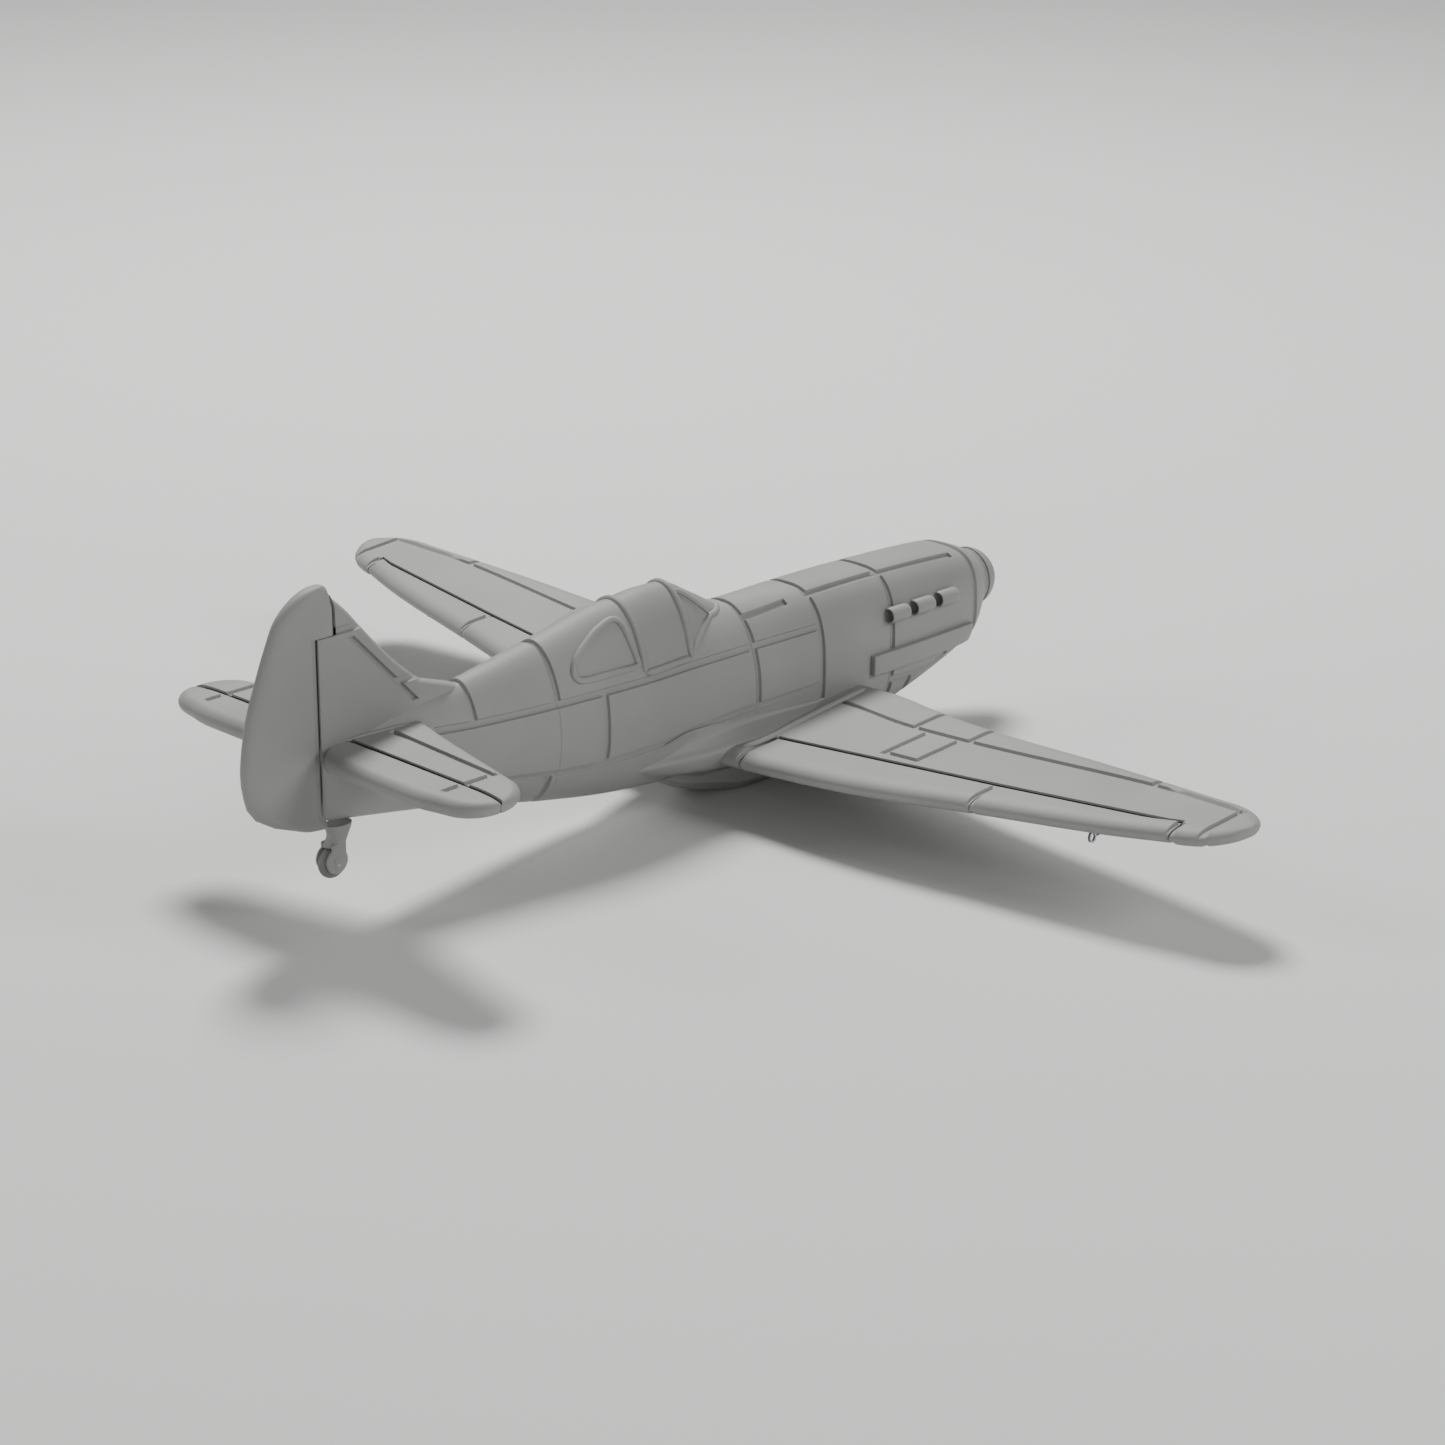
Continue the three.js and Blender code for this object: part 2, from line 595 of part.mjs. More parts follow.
function makeTailplane(horn) {
  const hinge = () => ELEVATOR_HINGE;
  const full = slab(tailSurface, 1, 12);
  const reach = [ELEVATOR_ROOT, TAILPLANE_HALF_SPAN + 4];
  const room = surfaceRoom(tailSurface, hinge, [0, reach[1]]);
  const stabiliser = cut(full, room, bodyWithGap, block(STERN - 40, STERN + 70, -9, FIN_HALF + GLUE, 60, 90));
  // The inner end is cut back, so that the rudder can swing.
  const swing = plate(
    [[STERN + 4, -1], [STERN + 4, ELEVATOR_ROOT], [STERN - 30, 22], [STERN - 30, -1]],
    40, 100, at,
  );
  const elevator = cut(movingSurface(full, tailSurface, hinge, reach, TAIL_TRAVEL), swing, joiner(GLUE));
  part("tailplane_left", stabiliser, "body");
  part("tailplane_right", mirrored(stabiliser), "body");
  part("elevator_left", elevator, "body");
  part("elevator_right", mirrored(elevator), "body");
  part("elevator_joiner", join(joiner(0), horn), "steel");
}

// ---------- Tail wheel ----------
const LEG_TOP = hull.bottom(LEG_X + 6) - RUN;
const AXLE_Z = STERN_BOTTOM - WHEEL_DROP;

function makeTailWheel() {
  const ellipse = (x, z, a, b) => Array.from({ length: 16 }, (_, i) => {
    const turn = (2 * Math.PI * i) / 16;
    return at(x + a * Math.cos(turn), b * Math.sin(turn), z);
  });
  const cheekIn = WHEEL_WIDTH / 2 + RUN;
  const cheekOut = cheekIn + CHEEK;
  const crown = AXLE_Z + WHEEL_RADIUS + RUN;
  const column = loft([
    ellipse(LEG_X, LEG_TOP, 6, 4.1), ellipse(LEG_X - WHEEL_TRAIL / 3, LEG_TOP - 4, 5, 3.8),
    ellipse(WHEEL_X, crown + 1.6, 3.9, cheekOut), ellipse(WHEEL_X, crown, 4, cheekOut),
  ]);
  const cheek = [];
  for (let i = 0; i <= 8; i++) {
    const a = Math.PI * (1 + i / 8);
    cheek.push([3.2 * Math.cos(a), AXLE_Z + 3.2 * Math.sin(a)]);
  }
  cheek.push([3.6, crown + 0.5], [-3.6, crown + 0.5]);
  const cheeks = [[-cheekOut, -cheekIn], [cheekIn, cheekOut]].map(([y0, y1]) =>
    plate(cheek, y0, y1, (u, z, y) => at(WHEEL_X + u, y, z)));
  const pivot = bar(at(LEG_X, 0, LEG_TOP - 1), at(LEG_X, 0, LEG_TOP + 9), 1.6, 14);
  const axle = (reach, grow) => bar(at(WHEEL_X, -reach, AXLE_Z), at(WHEEL_X, reach, AXLE_Z),
    AXLE_RADIUS + grow, 12);
  part("tailwheel_leg", cut(join(column, pivot, ...cheeks), axle(9, 0.05)), "body");
  part("tailwheel_axle", axle(cheekOut + 0.4, 0), "steel");
  const rim = WHEEL_WIDTH / 2;
  const profile = [
    [AXLE_RADIUS + 0.1, -rim], [WHEEL_RADIUS - 1.6, -rim], [WHEEL_RADIUS - 0.5, -rim + 0.7],
    [WHEEL_RADIUS, 0], [WHEEL_RADIUS - 0.5, rim - 0.7], [WHEEL_RADIUS - 1.6, rim],
    [AXLE_RADIUS + 0.1, rim], [AXLE_RADIUS + 0.1, -rim],
  ].map(([r, y]) => new THREE.Vector2(r, y));
  const wheel = new THREE.LatheGeometry(profile, 18);
  part("tailwheel", solidOf(wheel.translate(WHEEL_X, 0, AXLE_Z)), "rubber");
  return bar(at(LEG_X, 0, LEG_TOP - 9), at(LEG_X, 0, LEG_TOP + 9 + RUN), 1.6 + RUN, 14);
}

// ---------- Body shells ----------
const gapped = (from, to) => [from + GLUE / 2, to - GLUE / 2];
const HATCH = [RING_4 + 1, RING_5 - 1];
const EXHAUST = { x: [122, 137.5, 153], z: 58.4, radius: 3.3, length: 12.5, proud: 0.9 };
const FAIRING = { x: [108, 171], z: [34.8, 43.6], proud: 1.5 };
const SPAR = { x: 84, z: 23.4, reach: 96 };

function sparBar(from, to, grow) {
  const end = (y) => at(SPAR.x, y, SPAR.z + Math.abs(y) * WING_DIHEDRAL);
  return bar(end(from), end(to), SPAR_RADIUS + grow, 12);
}

function hatchOutline(grow) {
  return block(HATCH[0] - grow, HATCH[1] + grow, -HATCH_HALF - grow, HATCH_HALF + grow, 60, 90);
}

// Three pipe stubs that leave the cowl side by side, on a rail inside it.
function exhaustManifold(grow) {
  const y = hull.half(EXHAUST.x[1]) + EXHAUST.proud;
  const { x: starts, z, radius, length } = EXHAUST;
  const stubs = starts.map((x) =>
    bar(at(x - grow, y, z), at(x + length + grow, y - 0.6, z), radius + grow, 10));
  const roots = starts.map((x) => block(x + 4 - grow, x + 9 + grow, y - 7, y, z - 2 - grow, z + 2 + grow));
  if (grow > 0) return join(...roots, ...stubs);
  const mouths = starts.map((x) => bar(at(x - 1, y, z), at(x + 4, y, z), radius - 1, 8));
  const rail = block(starts[0] + 4, starts[2] + 9, y - 7, y - 5, z - 2, z + 2);
  return cut(join(rail, ...roots, ...stubs), ...mouths);
}

function sideFairing() {
  const [x0, x1] = FAIRING.x;
  const skin = cut(hullSolid(x0, x1, FAIRING.proud), hullSolid(x0 - 1, x1 + 1, GLUE));
  return skin.intersect(block(x0, x1, 10, 40, ...FAIRING.z));
}

// The radiator scoop under the belly, with its intake at the front.
function radiatorScoop() {
  const depth = smooth([[-3, 15], [8, 8], [25, 3.4], [44, 0], [82, 0]]);
  const rings = spread(-3, 82, 10).map((x) => {
    const z0 = depth(x);
    const half = SCOOP_HALF - z0 * 0.45;
    const neck = Math.min(11.5, half - 0.5);
    const side = Math.max(z0 + 1, 12);
    const port = [[half - 4, z0], [half, Math.min(z0 + 4, side)], [half, side], [neck, side + 3], [neck, 24]];
    const starboard = port.slice().reverse().map(([y, z]) => [-y, z]);
    return [...port, ...starboard].map(([y, z]) => at(x, y, z));
  });
  const intake = block(76, 90, -SCOOP_HALF + 4, SCOOP_HALF - 4, 3, 8);
  return cut(loft(rings), hullSolid(-20, 100, GLUE), intake);
}

function makeBody(openings) {
  part("cowl_ring", hullShell(COWL_JOINT + GLUE / 2, BACKPLATE_X - 2), "body");
  part("nose_section", cut(hullShell(...gapped(RING_5, COWL_JOINT)), ...openings.nose), "body");
  part("centre_section",
    cut(hullShell(...gapped(RING_3, RING_5)), hatchOutline(RUN), ...openings.centre), "body");
  const cockpit = block(ARCH_REAR, ARCH_FRONT, -40, 40, RAIL_Z, 110);
  part("cockpit_section",
    cut(hullShell(...gapped(RING_2, RING_3)), cockpit, ...openings.cockpit), "body");
  const sternPost = hullSolid(STERN, STERN + 5);
  part("tail_section",
    cut(join(hullShell(STERN, RING_2 - GLUE / 2), sternPost), ...openings.tail), "body");
  part("battery_hatch",
    cut(hullSolid(RING_4, RING_5).intersect(hatchOutline(0)), hullSolid(RING_4 - 5, RING_5 + 5, -WALL)),
    "body");
}

function makeCanopy() {
  const hood = hullShell(ARCH_REAR + GLUE, ARCH_FRONT - GLUE / 2, canopyTop)
    .intersect(block(ARCH_REAR, ARCH_FRONT, -40, 40, RAIL_Z + GLUE, 110));
  part("canopy_hood", hood, "body");
  const screen = cut(
    hullShell(ARCH_FRONT + GLUE / 2, RING_3, canopyTop)
      .intersect(block(ARCH_FRONT, RING_3, -40, 40, RAIL_Z + 2, 110)),
    hullSolid(ARCH_FRONT - 5, RING_3 + 5, GLUE),
  );
  part("windscreen", screen, "body");
  const outline = [];
  for (let i = 0; i <= 10; i++) {
    const a = Math.PI * (0.5 + i / 10);
    outline.push([-37 + 11 * Math.cos(a) * (i > 5 ? 0.9 : 1), 78 + 9 * Math.sin(a)]);
  }
  outline.push([-23, 70.5], [-27, 88]);
  const pane = plate(outline, 2, 40, (x, z, y) => at(x, y, z));
  const skin = cut(hullSolid(-52, ARCH_REAR - 1, 1), hullSolid(-56, ARCH_REAR, GLUE));
  const window = skin.intersect(pane);
  part("rear_window_left", window, "body");
  part("rear_window_right", mirrored(window), "body");
}

// ---------- Power and radio ----------
// A round piece on the thrust line, from [x, radius] corners that close on themselves.
function turned(corners, sides) {
  const profile = [...corners, corners[0]].map(([x, r]) => new THREE.Vector2(r, x));
  const lathe = new THREE.LatheGeometry(profile, sides).rotateZ(-Math.PI / 2);
  return solidOf(lathe.translate(0, 0, THRUST_Z));
}

function makePower() {
  const ogive = smooth([
    [BACKPLATE_X + GLUE, SPINNER_RADIUS], [BACKPLATE_X + 4, SPINNER_RADIUS - 1.1],
    [BACKPLATE_X + 9, SPINNER_RADIUS - 4.2], [SPINNER_TIP - 2, 5.2], [SPINNER_TIP - 0.6, 2.6],
  ]);
  const outside = spread(BACKPLATE_X + GLUE, SPINNER_TIP - 0.6, 2.2).map((x) => [x, ogive(x)]);
  const inside = spread(SPINNER_TIP - 3, BACKPLATE_X + GLUE, 4).map((x) => [x, Math.max(0, ogive(x) - 1.4)]);
  inside[0][1] = 0;
  part("spinner", turned([...outside, [SPINNER_TIP, 0], ...inside], 20), "body");
  const hole = SHAFT_RADIUS + 0.05;
  part("spinner_backplate", turned([
    [BACKPLATE_X - 1.6, hole], [BACKPLATE_X - 1.6, SPINNER_RADIUS - 0.4],
    [BACKPLATE_X, SPINNER_RADIUS - 0.4], [BACKPLATE_X, hole],
  ], 20), "dark");
  const bellRear = BACKPLATE_X - 18;
  const bellFront = BACKPLATE_X - 3.5;
  part("motor_bell", turned([
    [bellRear, MOTOR_RADIUS], [bellFront - 1.5, MOTOR_RADIUS], [bellFront, MOTOR_RADIUS - 1.5],
    [bellFront, SHAFT_RADIUS], [BACKPLATE_X + 4, SHAFT_RADIUS], [BACKPLATE_X + 4, 0],
    [bellRear - 4, 0], [bellRear - 4, SHAFT_RADIUS], [bellFront - 2, SHAFT_RADIUS],
    [bellFront - 2, MOTOR_RADIUS - 1.2], [bellRear, MOTOR_RADIUS - 1.2],
  ], 18), "steel");
  const bush = SHAFT_RADIUS + 0.1;
  part("motor_stator", turned([
    [bellRear - 3, bush], [bellRear - 3, MOTOR_RADIUS - 2], [bellRear - 1, MOTOR_RADIUS - 2],
    [bellRear - 1, MOTOR_RADIUS - 5], [bellRear + 1.5, MOTOR_RADIUS - 5],
    [bellRear + 1.5, MOTOR_RADIUS - 1.8], [bellFront - 3, MOTOR_RADIUS - 1.8], [bellFront - 3, bush],
  ], 18), "copper");
  const mountFront = bellRear - 3 - GLUE;
  const bulkhead = hullSolid(mountFront - 3, mountFront, -WALL - GLUE);
  const centre = bar(at(mountFront - 9, 0, THRUST_Z), at(mountFront + 9, 0, THRUST_Z), 3, 14);
  part("motor_mount", cut(bulkhead, centre), "dark");
  return mountFront - 3;
}

function makeRadioGear(bulkheadX) {
  const trayTop = 39;
  const from = RING_3 + 4;
  const tray = block(from, bulkheadX - GLUE, -15, 15, trayTop - 1.5, trayTop);
  part("equipment_tray", tray, "dark");
  const middle = (HATCH[0] + HATCH[1]) / 2;
  const { length, width, height } = BATTERY;
  const floor = trayTop + GLUE;
  part("battery",
    block(middle - length / 2, middle + length / 2, -width / 2, width / 2, floor, floor + height),
    "battery");
  part("speed_controller", block(RING_5 + 5, RING_5 + 29, -7.5, 7.5, floor, floor + 5), "board");
  part("receiver", block(from + 3, from + 27, -9, 9, floor, floor + 7), "board");
}

// ---------- Tail linkages ----------
const ELEVATOR_SERVO_X = -26;
const RUDDER_SERVO_X = -74;
const RUDDER_ROD_Z = 50;

function makeTailLinks() {
  const frames = [
    linkageFrame(at(ELEVATOR_HINGE, 0, elevatorAxis), at(0, 1, 0), at(1, 0, 0)),
    linkageFrame(at(RUDDER_HINGE, 0, RUDDER_ROD_Z), at(0, 0, 1), at(1, 0, 0)),
  ];
  // The elevator's servo stands below its rod, so its arm points up and turns the other way.
  const pivots = [
    [ELEVATOR_SERVO_X - ELEVATOR_HINGE, 2 * ARM_REACH], [RUDDER_SERVO_X - RUDDER_HINGE, 0],
  ];
  const sides = [-1, 1];
  const offsets = [-1.6, 0];
  const horns = frames.map((place, i) => armWithPin(place, [0, 0], offsets[i], 0, 1));
  const arms = frames.map((place, i) => armWithPin(place, pivots[i], offsets[i], 0, sides[i]));
  const rods = frames.map((place, i) =>
    pushrod(place, horns[i].tip, arms[i].tip, offsets[i] + ARM_THICK + GLUE));
  const servos = frames.map((place, i) => servo(place, pivots[i], offsets[i]));
  ["elevator", "rudder"].forEach((name, i) => {
    part(name + "_servo", servos[i], "dark");
    part(name + "_arm", arms[i].solid, "dark");
    part(name + "_pushrod", rods[i], "steel");
  });
  return { elevatorHorn: horns[0].solid, rudderHorn: horns[1].solid };
}

// ---------- Assembly ----------
function makeWings() {
  const { wing, flap, aileron, links } = makeWing();
  const panel = gunPanel(0);
  part("wing_left", wing, "body");
  part("wing_right", cut(mirrored(wing), mirrored(gunPanel(GLUE))), "body");
  part("gun_panel_right", mirrored(panel), "body");
  part("spar_tube", sparTube(), "carbon");
  for (const [name, piece] of [["flap", flap], ["aileron", aileron]]) {
    part(name + "_left", piece, "body");
    part(name + "_right", mirrored(piece), "body");
    for (const [kind, finish] of [["servo", "dark"], ["arm", "dark"], ["rod", "steel"]]) {
      const label = name + "_" + (kind === "rod" ? "pushrod" : kind);
      part(label + "_left", links[name][kind], finish);
      part(label + "_right", mirrored(links[name][kind]), finish);
    }
  }
}

const sparTube = () => join(sparBar(-SPAR.reach, 0, 0), sparBar(0, SPAR.reach, 0));
const sparHole = join(sparBar(-SPAR.reach - 2, 0, GLUE), sparBar(0, SPAR.reach + 2, GLUE));

const horns = makeTailLinks();
makeFinAndRudder(horns.rudderHorn, joiner(RUN));
makeTailplane(horns.elevatorHorn);
const legHole = makeTailWheel();
const exhaust = exhaustManifold(0);
const exhaustHole = exhaustManifold(GLUE);
part("exhaust_left", exhaust, "dark");
part("exhaust_right", mirrored(exhaust), "dark");
const fairing = sideFairing();
part("side_fairing_left", fairing, "body");
part("side_fairing_right", mirrored(fairing), "body");
part("radiator_scoop", radiatorScoop(), "body");
const hornSlot = block(STERN - 2, STERN + 6, -1, 9, RUDDER_ROD_Z - 2, RUDDER_ROD_Z + 6);
const rodExit = block(STERN + 20, RING_1 - 7.5, 4, 16, RUDDER_ROD_Z - 2, RUDDER_ROD_Z + 5);
const rudderCove = bar(
  at(RUDDER_HINGE, 0, 20), at(RUDDER_HINGE, 0, 90), FIN_HALF - SURFACE_SHOULDER + RUN, 16);
makeBody({
  nose: [exhaustHole, mirrored(exhaustHole)],
  centre: [sparHole],
  cockpit: [],
  tail: [joiner(RUN), legHole, hornSlot, rodExit, rudderCove],
});
makeCanopy();
makeRadioGear(makePower());
makeWings();

export default aircraft;
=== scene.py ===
import json
import math

import bmesh
import bpy
from mathutils import Matrix, Vector


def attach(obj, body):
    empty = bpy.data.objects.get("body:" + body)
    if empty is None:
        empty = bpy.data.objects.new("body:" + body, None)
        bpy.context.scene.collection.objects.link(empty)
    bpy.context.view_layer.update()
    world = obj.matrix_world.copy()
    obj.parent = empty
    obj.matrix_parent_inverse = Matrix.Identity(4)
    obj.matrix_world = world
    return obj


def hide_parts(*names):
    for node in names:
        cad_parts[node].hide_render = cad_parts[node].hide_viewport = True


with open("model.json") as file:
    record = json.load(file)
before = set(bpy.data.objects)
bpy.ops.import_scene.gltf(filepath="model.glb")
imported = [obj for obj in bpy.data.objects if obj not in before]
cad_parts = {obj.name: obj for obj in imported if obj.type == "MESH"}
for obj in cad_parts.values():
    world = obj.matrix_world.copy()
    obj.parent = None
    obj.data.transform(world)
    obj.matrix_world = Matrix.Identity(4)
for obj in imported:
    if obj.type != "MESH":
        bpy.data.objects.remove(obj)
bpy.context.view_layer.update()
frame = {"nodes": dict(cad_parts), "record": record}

MM = 0.001
MERGE = 0.004  # two corners nearer than this, in millimetres, are one

# ---------------------------------------------------------------- camera, lights and floor
CAMERA_AT = (-1.025861, -1.075705, 0.572912)
CAMERA_LOOK = (0.66283, 0.66722, -0.33981)
CAMERA_LENS = 97.91


def make_camera():
    data = bpy.data.cameras.new("camera")
    data.lens, data.sensor_width = CAMERA_LENS, 36
    data.clip_start, data.clip_end = 0.01, 50
    camera = bpy.data.objects.new("camera", data)
    camera.location = CAMERA_AT
    camera.rotation_euler = Vector(CAMERA_LOOK).to_track_quat("-Z", "Y").to_euler()
    bpy.context.scene.collection.objects.link(camera)
    bpy.context.scene.camera = camera


def soft_light(name, place, size, watts):
    data = bpy.data.lights.new(name, "AREA")
    data.shape, data.size, data.energy = "DISK", size, watts
    lamp = bpy.data.objects.new(name, data)
    lamp.location = place
    lamp.rotation_euler = (Vector((0, 0, 0.05)) - Vector(place)).to_track_quat("-Z", "Y").to_euler()
    bpy.context.scene.collection.objects.link(lamp)


make_camera()
soft_light("key", (0.75, 0.95, 1.9), 0.7, 62)
soft_light("fill", (0.9, -2.0, 1.3), 1.2, 26)
soft_light("front", (-1.8, -1.6, 0.9), 1.4, 9)
soft_light("rim", (-1.2, 1.4, 1.2), 1.0, 9)


# ---------------------------------------------------------------- materials
def linear(hexcode):
    parts = [int(hexcode[i : i + 2], 16) / 255 for i in (1, 3, 5)]
    return [c / 12.92 if c <= 0.04045 else ((c + 0.055) / 1.055) ** 2.4 for c in parts] + [1]


def node(tree, kind, links=(), **settings):
    """Adds a node. A setting whose name starts with a capital is a socket, any other an attribute."""
    made = tree.nodes.new(kind)
    for key, value in settings.items():
        if key[0].isupper():
            made.inputs[key.replace("_", " ")].default_value = value
        else:
            setattr(made, key, value)
    for source, target in links:
        tree.links.new(source, made.inputs[target])
    return made


def material(name, colour, roughness, metallic=0.0, ior=1.5):
    made = bpy.data.materials.new(name)
    made.use_nodes = True
    tree = made.node_tree
    shader = tree.nodes["Principled BSDF"]
    shader.inputs["Base Color"].default_value = linear(colour)
    shader.inputs["Roughness"].default_value = roughness
    shader.inputs["Metallic"].default_value = metallic
    shader.inputs["IOR"].default_value = ior
    place = node(tree, "ShaderNodeTexCoord").outputs["Object"]
    return made, tree, shader, place


def grain(tree, place, cell, **settings):
    """Noise whose cells are about that many millimetres across."""
    return node(tree, "ShaderNodeTexNoise", [(place, "Vector")], Scale=1 / (cell * MM), **settings)


def tint(tree, shader, factor, dark, light):
    ramp = node(tree, "ShaderNodeValToRGB", [(factor, "Fac")])
    ramp.color_ramp.elements[0].position, ramp.color_ramp.elements[1].position = 0.35, 0.65
    ramp.color_ramp.elements[0].color = linear(dark)
    ramp.color_ramp.elements[1].color = linear(light)
    tree.links.new(ramp.outputs["Color"], shader.inputs["Base Color"])


def roughen(tree, shader, factor, low, high):
    span = node(tree, "ShaderNodeMapRange", [(factor, "Value")], To_Min=low, To_Max=high)
    tree.links.new(span.outputs["Result"], shader.inputs["Roughness"])


def bump(tree, shader, height, depth, strength=1.0):
    made = node(tree, "ShaderNodeBump", [(height, "Height")], Strength=strength, Distance=depth * MM)
    tree.links.new(made.outputs["Normal"], shader.inputs["Normal"])


def moulded_polymer(name, dark, light, low, high, depth):
    # Moulded polymer under a matt primer: a fine even tooth, with faint clouding in the coat.
    made, tree, shader, place = material(name, light, high)
    cloud = grain(tree, place, 60, Detail=3.0)
    tooth = grain(tree, place, 0.9, Detail=4.0, Roughness=0.6)
    tint(tree, shader, cloud.outputs["Fac"], dark, light)
    roughen(tree, shader, tooth.outputs["Fac"], low, high)
    bump(tree, shader, tooth.outputs["Fac"], depth, 0.5)
    return made


def drawn_metal(name, dark, light, stretch, low, high):
    # Drawn or turned metal: fine lines along one way, which break up its gloss.
    made, tree, shader, place = material(name, light, high, metallic=1.0)
    lines = node(tree, "ShaderNodeMapping", [(place, "Vector")], Scale=stretch)
    marks = grain(tree, lines.outputs["Vector"], 0.6, Detail=3.0)
    tint(tree, shader, marks.outputs["Fac"], dark, light)
    roughen(tree, shader, marks.outputs["Fac"], low, high)
    return made


def wound_copper():
    # Enamelled copper wire, wound: rows of round turns 0.7 mm across, glossy, with painted shade darkening
    # the gaps between the turns.
    made, tree, shader, place = material("enamelled_copper_winding", "#a35a2c", 0.3, metallic=1.0)
    wire_gap_shade = node(tree, "ShaderNodeTexWave", [(place, "Vector")], Scale=1 / (0.7 * MM) / 20 * 3.14,
                 bands_direction="X", Distortion=0.3)
    # painted shade: the wave bands darken the copper's colour in the gaps between the turns
    tint(tree, shader, wire_gap_shade.outputs["Fac"], "#5a2a12", "#c87a44")
    bump(tree, shader, wire_gap_shade.outputs["Fac"], 0.15)
    return made


def woven_carbon():
    # Pulled carbon tube: twill cells 2 mm across, under a clear resin gloss.
    made, tree, shader, place = material("resin_bonded_carbon_tube", "#202224", 0.28)
    cells = node(tree, "ShaderNodeTexChecker", [(place, "Vector")], Scale=1 / (2 * MM))
    tint(tree, shader, cells.outputs["Fac"], "#17181a", "#303338")
    shader.inputs["Coat Weight"].default_value = 0.6
    return made


def coated_board():
    # Fibreglass circuit board: green coat with the copper tracks just showing under it.
    made, tree, shader, place = material("coated_fibreglass_board", "#1f4d2f", 0.35, ior=1.52)
    tracks = node(tree, "ShaderNodeTexBrick", [(place, "Vector")], Scale=1 / (6 * MM),
                  Color1=linear("#1d4a2c"), Color2=linear("#25583a"), Mortar=linear("#3c7a4c"),
                  Mortar_Size=0.03)
    tree.links.new(tracks.outputs["Color"], shader.inputs["Base Color"])
    bump(tree, shader, tracks.outputs["Fac"], 0.1)
    return made


def shrunk_film():
    # Shrunk polymer film round a battery: smooth gloss over slow waves.
    made, tree, shader, place = material("shrunk_pvc_film", "#23486f", 0.3, ior=1.53)
    waves = grain(tree, place, 9, Detail=2.0)
    tint(tree, shader, waves.outputs["Fac"], "#1e3f63", "#29527c")
    roughen(tree, shader, waves.outputs["Fac"], 0.22, 0.36)
    bump(tree, shader, waves.outputs["Fac"], 0.4)
    return made


BODY = moulded_polymer("primed_moulded_polymer", "#8b8b89", "#939391", 0.55, 0.68, 0.05)
DARK = moulded_polymer("moulded_abs_black", "#1d1d1f", "#27282a", 0.38, 0.52, 0.04)
FRAME = moulded_polymer("moulded_nylon_grey", "#7e7e7c", "#878785", 0.5, 0.62, 0.05)
TYRE = moulded_polymer("foam_rubber_tyre", "#787876", "#81817f", 0.75, 0.9, 0.12)
WIRE = drawn_metal("drawn_steel_wire", "#8c9094", "#b9bdc1", (0.1, 1, 1), 0.2, 0.35)
CAN = drawn_metal("turned_steel_motor_can", "#7d8186", "#b3b7bc", (1, 0.1, 0.1), 0.22, 0.38)
COPPER, CARBON, BOARD, FILM = wound_copper(), woven_carbon(), coated_board(), shrunk_film()
FINISH = {
    "airframe_shell": BODY, "servo_plastic": DARK, "moulded_parts": FRAME, "steel_wire": WIRE,
    "motor_can": CAN, "motor_winding": COPPER, "carbon_tube": CARBON, "battery_wrap": FILM,
    "circuit_board": BOARD, "wheel_rubber": TYRE,
}
for entry in frame["record"]["subparts"]:
    piece = frame["nodes"][entry["node"]]
    piece.data.materials.clear()
    piece.data.materials.append(FINISH[entry["material_slot"]])


# ---------------------------------------------------------------- curves and meshes, in millimetres
def smooth(*pairs):
    """A smooth line through (x, value) pairs, level where the pairs turn back."""
    rows = sorted(pairs)
    slope = [(b[1] - a[1]) / (b[0] - a[0]) for a, b in zip(rows, rows[1:])]
    tangent = [slope[0]]
    for a, b in zip(slope, slope[1:]):
        tangent.append(0 if a * b <= 0 else 2 * a * b / (a + b))
    tangent.append(slope[-1])

    def value(x):
        if x <= rows[0][0]:
            return rows[0][1]
        if x >= rows[-1][0]:
            return rows[-1][1]
        i = next(k for k, row in enumerate(rows) if row[0] >= x) - 1
        (xa, ya), (xb, yb) = rows[i], rows[i + 1]
        w = xb - xa
        t = (x - xa) / w
        rise = (1 + 2 * t) * (1 - t) ** 2 * ya + t * t * (3 - 2 * t) * yb
        return rise + w * t * (1 - t) * ((1 - t) * tangent[i] - t * tangent[i + 1])

    return value


def spread(start, end, step):
    count = max(1, round(abs(end - start) / step))
    return [start + (end - start) * i / count for i in range(count + 1)]


def spread_by(start, end, count):
    return [start + (end - start) * i / count for i in range(count + 1)]


def grid(columns, rows, place, drop=None):
    """A grid moved into shape: place(i, j) gives each corner, drop(i, j) names cells to leave out."""
    bm = bmesh.new()
    bmesh.ops.create_grid(bm, x_segments=columns - 1, y_segments=rows - 1, size=1)
    index = lambda co: ((co.x + 1) / 2 * (columns - 1), (co.y + 1) / 2 * (rows - 1))
    if drop:
        gone = [f for f in bm.faces if drop(*map(int, index(f.calc_center_median())))]
        bmesh.ops.delete(bm, geom=gone, context="FACES")
    for v in bm.verts:
        i, j = index(v.co)
        v.co = place(round(i), round(j))
    return bm


def close_ends(bm):
    """Fills each open rim with a fan of triangles."""
    rims = [e for e in bm.edges if e.is_boundary]
    made = bmesh.ops.holes_fill(bm, edges=rims, sides=0)["faces"]
    bmesh.ops.triangulate(bm, faces=made, ngon_method="EAR_CLIP")


def join_into(bm, other):
    mesh = bpy.data.meshes.new("part")
    other.to_mesh(mesh)
    bm.from_mesh(mesh)
    bpy.data.meshes.remove(mesh)
    other.free()
    return bm


